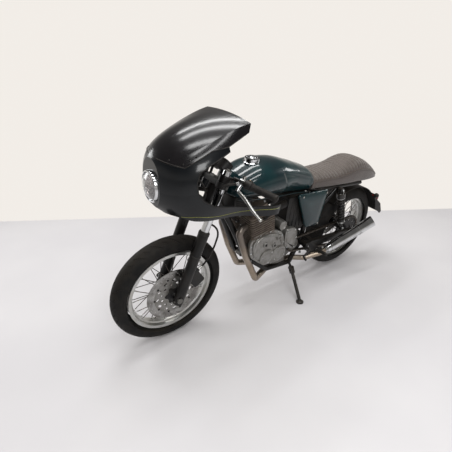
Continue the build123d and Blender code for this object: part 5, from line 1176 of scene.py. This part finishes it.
@dataclass(frozen=True)
class Saddle:
    """The long padded seat with sewn cross ribs and a raised tail.

    Each row is a station along Y, the height of the top and the half width. The powers square
    the section, in width and in height, above the widest line and then below it.
    """

    rows: tuple[Point, ...] = (
        (200, 820, 92), (226, 830, 97), (330, 832, 105), (427, 833, 110),
        (500, 845, 113), (560, 862, 115), (612, 871, 115), (670, 866, 114),
        (728, 845, 112), (784, 813, 107), (830, 782, 100), (868, 754, 88),
        (890, 735, 72), (900, 722, 50),
    )
    powers: tuple[float, ...] = (0.62, 0.72, 0.35, 0.5)
    rib_pitch: float = 26.0
    rib_from: float = 236.0
    rib_to: float = 846.0
    rib_depth: float = 6.5
    ring_pitch: float = 2.6
    seam_rise: float = 0.26
    stitch_rise: float = 0.33
    hem_turn: float = -0.9

    def point(self, y: float, turn: float) -> Vector:
        """Return the cover's point at a station and a turn."""
        top, half = smooth_rows(self.rows, y)
        low = max(744 - (y - 210) * 0.072, 702 - max(y - 760, 0) * 0.05)
        middle = low + 0.36 * (top - low)
        c, n = math.cos(turn), math.sin(turn)
        if n >= 0:
            x, z = half * bow(c, self.powers[0]), middle + (top - middle) * bow(n, self.powers[1])
        else:
            x, z = (half + 5 * n) * bow(c, self.powers[2]), middle + (middle - low) * bow(n, self.powers[3])
        on_top = step(n, 0.3, 0.62)
        if self.rib_from <= y <= self.rib_to:
            valley = 1.0 - abs(math.sin(math.pi * (y - self.rib_from) / self.rib_pitch))
            z -= on_top * self.rib_depth * valley ** 2.4
            x -= math.copysign(on_top * 1.6 * valley ** 2, x)
        pucker = 0.44 * math.sin(y * 0.11) * math.sin(y * 0.037 + 1.3) * step(n, -0.2, 0.3)
        seam = math.exp(-(((n - self.seam_rise) / 0.05) ** 2)) * 2.6
        return Vector((x - math.copysign(seam, x), y, z + pucker))

    def beside(self, y: float, turn: float, side: int, off: Point) -> Vector:
        """Return a point of the skin on a side, moved by an offset given for the left."""
        return self.point(y, turn if side > 0 else math.pi - turn) + sided(off, side)

    def build(self) -> None:
        """Make the cover, its piping, its lower hem and its stitches."""
        skin, piping, threads = meshes(3)
        first, last = self.rows[0][0], self.rows[-1][0]
        count = int((last - first) / self.ring_pitch)
        hull(skin, [first + (last - first) * n / count for n in range(count + 1)], 72, self.point)
        cover = finish_piece(skin, "seat_cover", "seat hide", "chassis", ("seat", "seat_base"), 80)
        seam_turn, stitch_turn = math.asin(self.seam_rise), math.asin(self.stitch_rise)
        for side in SIDES:
            along = [first + 6 + (last - first - 16) * n / 99 for n in range(100)]
            tube(piping, [self.beside(y, seam_turn, side, (1.2, 0, 0)) for y in along], 2.4, 8)
            along = [first + 8 + (last - first - 24) * n / 70 for n in range(71)]
            tube(piping, [self.beside(y, self.hem_turn, side, (1.0, 0, -0.5)) for y in along], 2.2, 8)
            for y in [first + 16 + n * 5.8 for n in range(118)]:
                tube(threads, [self.beside(at, stitch_turn, side, (0.5, 0, 0.5)) for at in (y, y + 3.4)], 0.7, 5)
        finish_piece(piping, "seat_piping", "seat hide", smooth=80)
        finish_piece(threads, "seat_stitches", "thread")


@dataclass(frozen=True)
class Cowl:
    """Trim of the fairing and screen, and the headlight. Lines are (y, z) points seen from the left."""

    pinstripe: Outline = ((-712, 831), (-652, 836), (-543, 816), (-420, 803), (-286, 795), (-170, 783))
    seam: Outline = ((-777, 1066.5), (-705, 1055), (-655, 1083), (-590, 1116), (-520, 1127), (-414, 1173))
    cut_out: Outline = (
        (-520, 1112), (-608, 1072), (-657, 1043), (-672, 1000), (-665, 954), (-642, 919), (-586, 883),
        (-456, 843), (-385, 823), (-263, 807), (-150, 793), (-116, 776),
    )
    rim_from: Point = (0, -399, 1080)
    rim_half_turn: float = 76.0
    lamp_at: Point = (0.0, -780, 932)
    lens_r: float = 62.0
    lens_depth: float = 24.0
    flute_reach: float = 58.0
    flutes: Sequence[int] = range(-48, 49, 12)
    lamp_parts: tuple[tuple[str, str, Outline], ...] = (
        ("headlight_bucket", "black plastic", (
            (0, -60), (40, -56), (58, -36), (67, 0), (67, 6), (65, 6), (56, -34), (38, -53), (0, -57),
        )),
        ("headlight_reflector", "reflector", (
            (64, 6), (60, -10), (46, -28), (28, -40), (12, -46), (12, -50), (30, -45), (48, -32), (62, -12),
            (66, 6), (64, 6),
        )),
        ("headlight_bezel", "chrome", (
            (64, 4), (68, -1), (73, 0), (73, 9), (70, 13.5), (66, 14), (64.5, 11), (64, 4),
        )),
        ("headlight_bulb", "clear lens", ((0, -16), (6, -18), (8, -26), (8, -46), (0, -46))),
        ("headlight_lens", "clear lens", (
            (0, 33), (18, 31.5), (38, 26), (54, 17), (64.5, 7), (62, 6), (52, 14), (37, 22.5), (18, 28), (0, 29.5),
        )),
    )

    def build(self) -> None:
        """Lay the trim and make the headlight."""
        self.lay_trim()
        self.make_headlight()

    def lay_trim(self) -> None:
        """Lay the pinstripe, the seam strip, its rivets and the edge beading."""
        shell, screen = Surface("fairing"), Surface("windscreen")
        stripes, strip, rivets = meshes(3)
        stripe = shell.line(self.pinstripe, 0.1, 10)
        joint = screen.line([(y, z + 3.2) for y, z in self.seam], 0.6, 10)
        beading = shell.line(self.cut_out, 0.2, 8)
        for side in SIDES:
            for bm, line, radius in ((stripes, stripe, 1.1), (strip, joint, 2), (strip, beading, 2.2)):
                tube(bm, [sided(at, side) for at in line], radius, 6)
            for at in screen.line([(y, z + 15) for y, z in self.seam[:-1]], 0.4, 2):
                profile = ((0, 1.6), (2, 1.3), (3.1, 0.2), (3.4, -1.0))
                lathe(rivets, profile, sided(at, side), (side, -0.5, 0.4), 10)
        edge = []
        for n in range(41):
            turn = math.radians(self.rim_half_turn * (n / 20 - 1))
            way = Vector((math.sin(turn), 0, math.cos(turn)))
            hit, _, _, _ = screen.tree.ray_cast(Vector(self.rim_from), way)
            if hit:
                edge.append(hit + way * 2)
        tube(strip, edge, 3, 8)
        finish_piece(stripes, "cowl_pinstripes", "pinstripe gold")
        finish_piece(strip, "cowl_rubber_trim", "rubber")
        finish_piece(rivets, "screen_rivets", "black paint")

    def make_headlight(self) -> None:
        """Turn the bucket, reflector, bulb, bezel and domed lens, and lay flutes behind the lens."""
        for name, finish, profile in self.lamp_parts:
            bm = bmesh.new()
            lathe(bm, profile, self.lamp_at, (0, -1, 0), 56)
            finish_piece(bm, name, finish, replaces=("headlight",) if name == "headlight_bucket" else ())
        bm = bmesh.new()
        for x in self.flutes:
            half = math.sqrt(self.flute_reach**2 - x**2)
            path = []
            for z in [half * (n / 6 - 1) for n in range(13)]:
                dome = self.lens_depth * (1 - (x / self.lens_r) ** 2 - (z / self.lens_r) ** 2) + 4
                path.append(Vector(self.lamp_at) + Vector((x, -dome, z)))
            tube(bm, path, 0.9, 5)
        finish_piece(bm, "headlight_lens_flutes", "clear lens")


# ---------------------------------------------------------------- engine
@dataclass(frozen=True)
class Engine:
    """Crankcase covers, screws, plugs and rocker cover dressing. Outlines are (y, z) points."""

    case_x: float = 98.0
    left_outline: Outline = (
        (-262, 470), (-246, 420), (-204, 384), (-160, 346), (-104, 326), (-40, 316), (16, 322), (34, 366),
        (20, 430), (0, 500), (-30, 540), (-90, 566), (-170, 572), (-236, 560), (-262, 520),
    )
    ridge: Outline = (
        (-232, 462), (-230, 500), (-212, 530), (-170, 544), (-110, 540), (-60, 522), (-28, 486), (-12, 446),
    )
    ribs: tuple[Outline, ...] = (((-170, 520), (-158, 448)), ((-118, 538), (-108, 452)), ((-196, 470), (-176, 420)))
    round_caps: tuple[Point, ...] = ((-130, 396, 54), (-36, 392, 56))
    plugs: Outline = ((-155, 490), (-84, 466), (-54, 512))
    sprocket_cover: Outline = (
        (20, 400), (54, 396), (100, 376), (112, 400), (114, 470), (96, 528), (60, 540), (6, 536), (10, 470),
    )
    sprocket_screws: Outline = ((34, 408), (98, 392), (104, 462), (84, 520), (24, 524))
    clutch: tuple[float, float] = (-130, 456)
    crank: tuple[float, float] = (50, 412)
    barrel_foot: Point = (0, -158, 498)
    barrel_up: Point = (0, -0.1736, 0.9848)
    barrel_back: Point = (0, 0.9848, 0.1736)
    head_rise: float = 238.0

    def build(self) -> None:
        """Make both sides' covers and the top's fasteners."""
        self.make_left()
        self.make_right()
        self.make_top()

    def make_left(self) -> None:
        """Make the stepped left cover with its two round caps, the sprocket cover and the starter."""
        bm, sprocket, screws, holes = meshes(4)
        left, x = (1, 0, 0), self.case_x
        outer, cover = soften(self.left_outline), soften(self.sprocket_cover)
        plate(bm, outer, side_frame(x), 20, 3)
        plate(bm, shrink(outer, 17), side_frame(x + 19), 12, 5)
        for y, z, r in self.round_caps:
            profile = ((0, 9), (r - 20, 9), (r - 17, 11.5), (r - 7, 11.5), (r, 6), (r + 1, -8))
            lathe(bm, profile, (x + 29, y, z), left, 44)
            for along, up in circle(3, r - 12, y * 0.01):
                cap_screw(screws, (x + 40, y + along, z + up), left, 3.8, 3.2)
        for y, z in self.plugs:
            lathe(bm, ((9, 3), (9, 9), (12, 10), (16, 9), (19, -2)), (x + 30, y, z), left, 20)
            # A black disc at the bottom of each plug boss's hole is painted shade.
            lathe(holes, ((0, 3.5), (9.3, 3.5)), (x + 30, y, z), left, 16)
        tube(bm, [(x + 29, y, z) for y, z in self.ridge], 8, 12)
        for rib in self.ribs:
            tube(bm, [(x + 28, y, z) for y, z in rib], (5, 3.5), 8)
        plate(sprocket, cover, side_frame(x), 24, 4)
        plate(sprocket, shrink(cover, 12), side_frame(x + 23), 4, 2)
        starter = ((0, 4), (22, 4), (24, 7), (28, 7), (30, 0), (30, -70))
        lathe(sprocket, starter, (x + 4, -10, 566), left, 32)
        for y, z in shrink(outer, 8)[::4]:
            cap_screw(screws, (x + 19.6, y, z), left, 4.8, 5)
        for y, z in self.sprocket_screws:
            cap_screw(screws, (x + 26.6, y, z), left, 4.4, 4)
        finish_piece(bm, "left_engine_cover", "cover alloy", replaces=("engine_covers",), smooth=32)
        finish_piece(sprocket, "sprocket_cover", "cover alloy", smooth=32)
        finish_piece(screws, "left_cover_screws", "bright steel")
        # The black discs in the plug holes are painted shade.
        finish_piece(holes, "left_cover_recess_shade", "black cast")

    def make_right(self) -> None:
        """Make the clutch cover on the right."""
        bm, screws = meshes(2)
        right = (-1, 0, 0)
        plate(bm, band_outline(self.clutch, 106, self.crank, 84, 30), side_frame(self.case_x, -1), 32, 5)
        cut(bm, (0, -158, 530), (0, -0.17, 0.98))
        bmesh.ops.holes_fill(bm, edges=open_edges(bm), sides=0)
        lathe(bm, ((0, 4), (44, 4), (50, 8), (74, 8), (84, 0)), (-126, -120, 448), right, 48)
        lathe(bm, ((0, 6), (26, 6), (34, 0)), (-128, *self.crank), right, 32)
        for y, z in band_outline(self.clutch, 98, self.crank, 76, 8):
            if z < 524:
                cap_screw(screws, (-129.5, y, z), right, 4.6, 5)
        finish_piece(bm, "right_engine_cover", "cover alloy", smooth=32)
        finish_piece(screws, "right_cover_screws", "bright steel")

    def make_top(self) -> None:
        """Add head nuts, spark plugs and the rocker cover's screws along the cylinders."""
        foot, up, back = Vector(self.barrel_foot), Vector(self.barrel_up), Vector(self.barrel_back)
        head = foot + up * self.head_rise
        nuts, plugs = meshes(2)
        for side in SIDES:
            for along in (-46, 46):
                hex_nut(nuts, head + back * along + Vector((side * 72, 0, 0)), up, 7, 7, 5)
            cap_screw(nuts, head + Vector((side * 26, 0, 0)), up, 5, 5)
            for rise in (6, 60, 118, 176):
                cap_screw(nuts, foot + up * rise - back * 87 + Vector((side * 20, 0, 0)), -back, 4.6, 4)
            seat = foot + up * 172 + Vector((side * 120, 0, 0))
            bends = ((0, 0, 0), (16, 0, 10), (24, 12, 34), (4, 60, 66))
            tube(plugs, [seat + sided(bend, side) for bend in bends], (8, 8, 5, 3.5), 10)
        finish_piece(nuts, "head_nuts", "bright steel")
        finish_piece(plugs, "plug_caps", "rubber")


# ---------------------------------------------------------------- steering and controls
FORK_FOOT = Vector((0.0, -692.1, 319))
FORK_UP = Vector((0.0, 0.3584, 0.9336))
BAR_ROOT = Vector((112, -413, 940))
BAR_WAY = (Vector((342, -347, 921)) - BAR_ROOT).normalized()
LEVER_AHEAD = Vector((0.0, -0.7071, -0.7071))


@dataclass(frozen=True)
class Steering:
    """Fork dressing, grips, switches and dials. Heights are measured up the fork."""

    body: str = "steering"
    leg_x: float = 95.0
    slider_top: float = 378.0
    fork_top: float = 706.0
    stem_top: float = 647.5
    yoke_bolts: tuple[float, float] = (628, 498)
    grip_from: float = 108.0
    grip_length: float = 134.0
    grip_ribs: int = 28
    switch_from: float = 66.0
    switch_face: Point = (0, 0.72, 0.69)
    gauge_at: Point = (38, -402, 992)
    gauge_out: Point = (0, 0.766, 0.643)
    needle_turn: float = 3.7
    ticks: int = 25
    dial_from: float = 225.0
    dial_sweep: float = 270.0
    hose: tuple[Point, ...] = (
        (-137, -447, 914), (-137, -520, 914), (84, -537, 908), (80, -568, 800), (56, -546, 722),
        (100, -464, 676), (104, -497, 569), (67, -520, 462), (66, -563, 434),
    )
    blade: Outline = ((50, 40), (121.2, 66), (242.2, 118))
    ball_r: float = 8.1

    def build(self) -> None:
        """Make every steering piece."""
        self.dress_fork()
        self.make_grips()
        self.make_switches()
        self.run_hose()
        self.make_blades()
        self.make_dials()

    def leg(self, side: int, height: float, out: Point = (0, 0, 0)) -> Vector:
        """Return a point up a fork leg."""
        return FORK_FOOT + FORK_UP * height + Vector((side * self.leg_x, 0, 0)) + Vector(out)

    def dress_fork(self) -> None:
        """Add dust seals, fork caps, pinch bolts, the stem nut and hose clips."""
        seals, steel = meshes(2)
        seal = ((20.6, 12), (24, 12), (28.5, 7), (29, -6), (28, -6))
        clip = ((28.3, -4), (29.2, -4), (29.2, 4), (28.3, 4))
        cap = ((0, 8), (9, 8), (10, 6), (10, 2), (16, 2), (19, 0), (19, -2))
        for side in SIDES:
            lathe(seals, seal, self.leg(side, self.slider_top), FORK_UP, 32)
            lathe(steel, cap, self.leg(side, self.fork_top), FORK_UP, 6)
            for height in self.yoke_bolts:
                cap_screw(steel, self.leg(side, height, (side * 31, 4, 0)), (side, 0, 0), 4.6, 4.5)
            cap_screw(steel, self.leg(side, -14, (side * 6, -28, 0)), (0, -0.93, 0.36), 5, 5)
            axle_end = FRONT_AXLE + Vector((side * 124, 0, 0))
            lathe(steel, ((0, 5), (13, 5), (15, 3), (15, -2)), axle_end, (side, 0, 0), 24)
            lathe(seals, clip, self.leg(side, 250), FORK_UP, 32)
        hex_nut(steel, FORK_FOOT + FORK_UP * self.stem_top, FORK_UP, 15, 9, 3)
        finish_piece(seals, "fork_dust_seals", "rubber", self.body)
        finish_piece(steel, "fork_fasteners", "cast alloy", self.body)

    def make_grips(self) -> None:
        """Turn ribbed grips with flanged ends and bar-end plugs."""
        bm, ends = meshes(2)
        profile = [(11.4, 0.0), (19.5, 0.0), (20, 2.5), (17, 5)]
        for at in [8 + n * 4.2 for n in range(self.grip_ribs)]:
            profile += [(16.9, at), (16.9, at + 2.2), (15.7, at + 2.7), (15.7, at + 3.7)]
        end = self.grip_length
        profile += [(17.2, end - 6), (17.2, end - 1), (15.5, end), (0.0, end)]
        for side in SIDES:
            root, way = sided(BAR_ROOT, side), sided(BAR_WAY, side)
            lathe(bm, profile, root + way * self.grip_from, way, 28)
            lathe(ends, ((0, 3.5), (9, 3.5), (12, 1.5), (12, -1.0)), root + way * (self.grip_from + end), way, 20)
        finish_piece(bm, "ribbed_grips", "rubber", self.body, ("grips",), 30)
        finish_piece(ends, "bar_end_plugs", "rubber", self.body)

    def make_switches(self) -> None:
        """Add the switch housings with their buttons and a horn button."""
        bm, yellow, dark = meshes(3)
        face = Vector(self.switch_face)
        square = [(-13, -11), (13, -11), (15, -8), (15, 8), (13, 11), (-13, 11), (-15, 8), (-15, -8)]
        for side in SIDES:
            way = sided(BAR_WAY, side)
            root = sided(BAR_ROOT, side) + way * self.switch_from
            lathe(bm, ((12, 0), (19, 1), (21, 4), (21, 34), (19, 38), (12, 39)), root, way, 16)
            base = root + way * 18 + face * 14
            plate(bm, square, facing(base, face), 10, 2)
            for off, radius, target in ((-7, 4.6, yellow if side > 0 else dark), (6, 3.4, dark)):
                profile = ((0, 3.2), (radius * 0.7, 3), (radius, 1.6), (radius, -1))
                lathe(target, profile, base + face * 10 + way * off, face, 16)
        finish_piece(bm, "switch_housings", "black plastic", self.body)
        finish_piece(yellow, "indicator_button", "yellow button", self.body)
        finish_piece(dark, "switch_buttons", "cap ring", self.body)

    def run_hose(self) -> None:
        """Run the brake hose in soft bends, with a steel ferrule at each end."""
        bm, ferrules = meshes(2)
        path = soft_path(self.hose, 4)
        tube(bm, path, 5, 12)
        for at, onward in ((path[0], path[3]), (path[-1], path[-4])):
            profile = ((0, 0), (6.6, 0), (6.6, 14), (5.9, 16), (5.9, 24), (5, 24))
            lathe(ferrules, profile, at, (onward - at).normalized(), 16)
        finish_piece(bm, "brake_hose_bends", "rubber", self.body, ("brake_hose",), 60)
        finish_piece(ferrules, "hose_ferrules", "bright steel", self.body)

    def make_blades(self) -> None:
        """Sleeve each lever with a swelling blade and a ball end."""
        bm = bmesh.new()
        bulge = [math.sin(math.pi * n / 10) for n in range(11)]
        ball = [(self.ball_r * out, -self.ball_r * math.cos(math.pi * n / 10)) for n, out in enumerate(bulge)]
        radii = [6.2 + 2.9 * math.sin(math.pi * min(n / 13, 1.0)) ** 0.7 for n in range(17)]
        corners = [BAR_ROOT + BAR_WAY * along + LEVER_AHEAD * reach for along, reach in self.blade]
        left = [corners[0].lerp(corners[1], n / 6) for n in range(6)]
        left += [corners[1].lerp(corners[2], n / 10) + LEVER_AHEAD * 2.5 * out for n, out in enumerate(bulge)]
        for side in SIDES:
            path = [sided(at, side) for at in left]
            tube(bm, path, radii, 14)
            lathe(bm, ball, path[-1], path[-1] - path[0], 18)
        finish_piece(bm, "lever_blades", "rim alloy", self.body)

    def make_dials(self) -> None:
        """Add a bezel, face, ticks, needle and glass to both dials."""
        out = Vector(self.gauge_out)
        bezels, faces, marks, needles, glass = meshes(5)
        for side in SIDES:
            at = sided(self.gauge_at, side)
            lathe(bezels, ((30, 1), (31, 4), (34, 4), (35, 2), (35, -7), (34, -7)), at, out, 40)
            lathe(faces, ((0, 1.2), (30.5, 1.2), (30.5, -1)), at, out, 40)
            lathe(glass, ((0, 3.6), (30.6, 3.6), (30.6, 2.8), (0, 2.8)), at, out, 40)
            place = facing(at, out)
            for n in range(self.ticks):
                turn = math.radians(self.dial_from - self.dial_sweep * n / (self.ticks - 1))
                ends = (22 if n % 3 == 0 else 25, 28.5)
                way = Vector((math.cos(turn), math.sin(turn), 0))
                tube(marks, [place @ (way * reach + Vector((0, 0, 1.5))) for reach in ends], 0.5, 4)
            way = Vector((math.cos(self.needle_turn), math.sin(self.needle_turn), 0))
            tube(needles, [place @ (way * reach + Vector((0, 0, 2.1))) for reach in (-5, 22)], (0.9, 0.4), 5)
            lathe(needles, ((0, 3), (3.2, 3), (3.6, 1.5)), at, out, 14)
        finish_piece(bezels, "dial_bezels", "black paint", self.body)
        finish_piece(faces, "dial_faces", "dial face", self.body)
        finish_piece(marks, "dial_ticks", "dial mark", self.body)
        finish_piece(needles, "dial_needles", "needle", self.body)
        finish_piece(glass, "dial_glass", "clear lens", self.body)


# ---------------------------------------------------------------- suspension, exhaust, tail
@dataclass(frozen=True)
class Running:
    """Springs, exhaust dressing, pegs, tail, electrics and small frame pieces."""

    shock_top: Point = (120, 455, 706)
    shock_foot: Point = (120, 566, 396)
    coils: float = 8.5
    coil_r: float = 22.6
    spring_from: float = 66.0
    spring_length: float = 198.0
    silencer_from: Point = (158, 388, 286)
    silencer_to: Point = (200, 850, 424)
    seam_dots: int = 44
    peg_root: Point = (152, 328.4, 301)
    peg_tip: Point = (222, 329, 305)
    mounts: tuple[Point, ...] = ((97, -232, 385), (97, 206, 296))
    battery: Outline = ((52, 480), (250, 470), (252, 716), (60, 728), (40, 640))
    coil_box: Outline = (
        (-350, 712), (-246, 704), (-240, 712), (-240, 790), (-248, 798), (-350, 806), (-358, 798), (-358, 720),
    )
    nose_plate: Outline = ((-716, 872), (-640, 846), (-590, 852), (-586, 960), (-618, 1000), (-700, 992))
    nose_box: Outline = ((-676, 880), (-612, 876), (-610, 930), (-674, 934))

    def build(self) -> None:
        """Make every piece."""
        self.wind_springs()
        self.make_silencers()
        self.dress_exhaust()
        self.dress_controls()
        self.dress_tail()
        self.fill_frame()
        self.fill_neck()

    def wind_springs(self) -> None:
        """Wind a coil spring round each shock between its two collars."""
        springs, collars = meshes(2)
        foot = Vector(self.shock_foot)
        way = (Vector(self.shock_top) - foot).normalized()
        across = way.cross(Vector((1, 0, 0))).normalized()
        other = way.cross(across)
        count = int(self.coils * 16)
        path = []
        for n in range(count + 1):
            turn = math.tau * self.coils * n / count
            ring = (across * math.cos(turn) + other * math.sin(turn)) * self.coil_r
            path.append(foot + way * (self.spring_from + self.spring_length * n / count) + ring)
        collar = ((13, 0), (27, 0), (27.5, 2), (27.5, 5), (26, 6), (13, 6))
        cap = ((18.5, -2), (23, -2), (25, 4), (25, 22), (21, 32), (18.5, 34))
        for side in SIDES:
            tube(springs, [sided(at, side) for at in path], 4.6, 8)
            for profile, rise, steps in ((collar, 58, 32), (collar, 266, 32), (cap, 272, 28)):
                lathe(collars, profile, sided(foot, side) + way * rise, way, steps)
            for _, y, z in (self.shock_top, self.shock_foot):
                hex_nut(collars, (side * 134, y, z), (side, 0, 0), 8.5, 7, 3)
        finish_piece(springs, "shock_coils", "spring black", replaces=("shock_springs",), smooth=60)
        finish_piece(collars, "shock_collars", "bright steel")

    def silencer_line(self, side: int) -> tuple[Vector, Vector, float]:
        """Return where a silencer starts, the way it runs and its length."""
        start, end = sided(self.silencer_from, side), sided(self.silencer_to, side)
        return start, (end - start).normalized(), (end - start).length

    def make_silencers(self) -> None:
        """Turn each silencer as a slim cone with a mouth cut on the slant."""
        bm = bmesh.new()
        for side in SIDES:
            start, way, length = self.silencer_line(side)
            profile = (
                (0, 0), (21.5, 0), (22.5, 14), (28, 40), (31.5, 90), (34.5, 180), (37, 290), (38.5, length - 1),
                (36.6, length - 1), (35, 290), (34, 250), (0, 248),
            )
            part = bmesh.new()
            lathe(part, profile, start, way, 56)
            cut(part, start + way * (length - 26), (way + Vector((side * 0.55, 0, 0.55))).normalized())
            bmesh.ops.bridge_loops(part, edges=open_edges(part))
            merge(bm, part)
        finish_piece(bm, "silencer_shells", "chrome", replaces=("silencers",), smooth=40)

    def dress_exhaust(self) -> None:
        """Add clamps, the silencers' seam line, end rings and dark baffles."""
        bands, bolts, seams, baffles = meshes(4)
        for side in SIDES:
            start, way, _ = self.silencer_line(side)
            for along, r in ((44, 29.6), (300, 38.4)):
                lathe(bands, ((r - 1, 0), (r, 0.6), (r, 3.4), (r - 1, 4)), start + way * along, way, 48)
            lathe(baffles, ((15, 60), (15, 2), (33.6, 2), (33.6, 0.4), (0, 0.4)), start + way * 252, way, 32)
            lathe(bands, ((21, 0), (24, 0), (24, 16), (21, 16)), start + way * 4, way, 32)
            hex_nut(bolts, start + way * 12 + Vector((side * 22, 0, -8)), (side, 0, 0), 6, 6, 5)
            down = way.cross(Vector((side, 0, 0))).normalized()
            outward = way.cross(down).normalized()
            if outward.x * side < 0:
                outward.negate()
            for n in range(self.seam_dots):
                out = outward * (31 + n * 0.155) + down * (3 if down.z < 0 else -3)
                lathe(seams, ((0, 1.2), (1.5, 1.0), (1.9, 0)), start + way * (96 + n * 5.1) + out, outward, 6)
        finish_piece(bands, "exhaust_bands", "bright steel")
        finish_piece(bolts, "exhaust_bolts", "bright steel")
        finish_piece(seams, "silencer_seam_dots", "chain steel")
        finish_piece(baffles, "silencer_baffles", "heated pipe")

    def dress_controls(self) -> None:
        """Add rubbers to the pegs, and nuts to the pegs, swingarm pivot and rear axle."""
        rubbers, steel = meshes(2)
        profile = [(9.6, 0)]
        for at in [n * 6 for n in range(11)]:
            profile += [(11.6, at + 1.0), (11.6, at + 4), (10, at + 5)]
        profile += [(11.6, 68), (10, 70.5), (0, 70.5)]
        for side in SIDES:
            root, out = sided(self.peg_root, side), (side, 0, 0)
            lathe(rubbers, profile, root, (sided(self.peg_tip, side) - root).normalized(), 20)
            hex_nut(steel, (side * 138, 328, 299), out, 8, 6, 3)
            hex_nut(steel, (side * 123.5, 236, 352), out, 11, 7, 4)
            hex_nut(steel, (side * 132, 705, 319), out, 13, 9, 4)
            for y in (676, 735):
                cap_screw(steel, (side * 123.4, y, 322), out, 4, 4)
        finish_piece(rubbers, "peg_rubbers", "rubber")
        finish_piece(steel, "axle_and_pivot_nuts", "bright steel")

    def dress_tail(self) -> None:
        """Add the rear indicators on their stalks."""
        amber, stalks = meshes(2)
        for side in SIDES:
            root, tip = sided((62, 905, 570), side), sided((112, 908, 568), side)
            lamp = tip + Vector((side * 12, 0, 0))
            tube(stalks, (root, tip), 5, 12)
            lathe(stalks, ((0, -26), (12, -22), (17, -10), (18, 0), (17, 2)), lamp, (0, 1, 0), 24)
            lathe(amber, ((0, 14), (8, 12.5), (14, 8), (17, 1), (17, -1)), lamp, (0, 1, 0), 24)
        finish_piece(stalks, "indicator_stalks", "black plastic")
        finish_piece(amber, "indicator_lenses", "amber lens")

    def fill_frame(self) -> None:
        """Add the engine mounts' nuts and the battery box with its ribs."""
        nuts, battery = meshes(2)
        for side in SIDES:
            for at in self.mounts:
                hex_nut(nuts, sided(at, side), (side, 0, 0), 9, 7, 4)
        plate(battery, soften(self.battery, 1), side_frame(-72), 144, 4)
        for y in [70 + 34 * n for n in range(5)]:
            tube(battery, ((73, y, 500), (73, y + 4, 700)), 3, 8)
        finish_piece(nuts, "engine_mount_nuts", "bright steel")
        finish_piece(battery, "battery_box", "black plastic")

    def fill_neck(self) -> None:
        """Add the coils and their leads behind the steering head, and the lamp's bracket."""
        coils, bracket, leads = meshes(3)
        plate(coils, self.coil_box, side_frame(-66), 132, 3)
        for z in [718 + 11 * n for n in range(7)]:
            plate(coils, [(-346, z + 6), (-254, z), (-254, z + 4), (-346, z + 10)], side_frame(65), 5, 0.8)
        plate(bracket, soften(self.nose_plate), side_frame(-4), 8, 1.5)
        plate(bracket, soften(self.nose_box, 1), side_frame(-34), 68, 3)
        for side in SIDES:
            for n, (drop, reach) in enumerate(((0, 0), (9, 10), (-8, 22))):
                path = (
                    (52, -352, 752 + drop), (64, -376, 742 + drop), (60 - n * 4, -378 + reach, 706),
                    (48 - n * 6, -340 + reach, 668), (40 - n * 4, -292, 640 - drop),
                )
                tube(leads, soft_path([sided(at, side) for at in path]), 3.6, 8)
        finish_piece(coils, "coil_pack", "black plastic")
        finish_piece(bracket, "nose_bracket", "black cast")
        finish_piece(leads, "coil_leads", "rubber")


WHEELS = (
    Wheel("front", FRONT_AXLE, crown=50, tread_skip=12, disc_x=57.5, disc_r=153, disc_band=42, cap_x=47),
    Wheel("rear", REAR_AXLE, crown=65, tread_skip=15, disc_x=-76.5, disc_r=120, disc_band=36, cap_x=66),
)


def main() -> None:
    """Build the studio, dress the frame and add each sub-assembly."""
    logging.basicConfig(level=logging.INFO, format="%(name)s %(message)s")
    Studio().build()
    dress_frame()
    for part in (*WHEELS, Chain(), Tank(), SidePanels(), Saddle(), Cowl(), Engine(), Steering(), Running()):
        part.build()


if __name__ == "__main__":
    main()
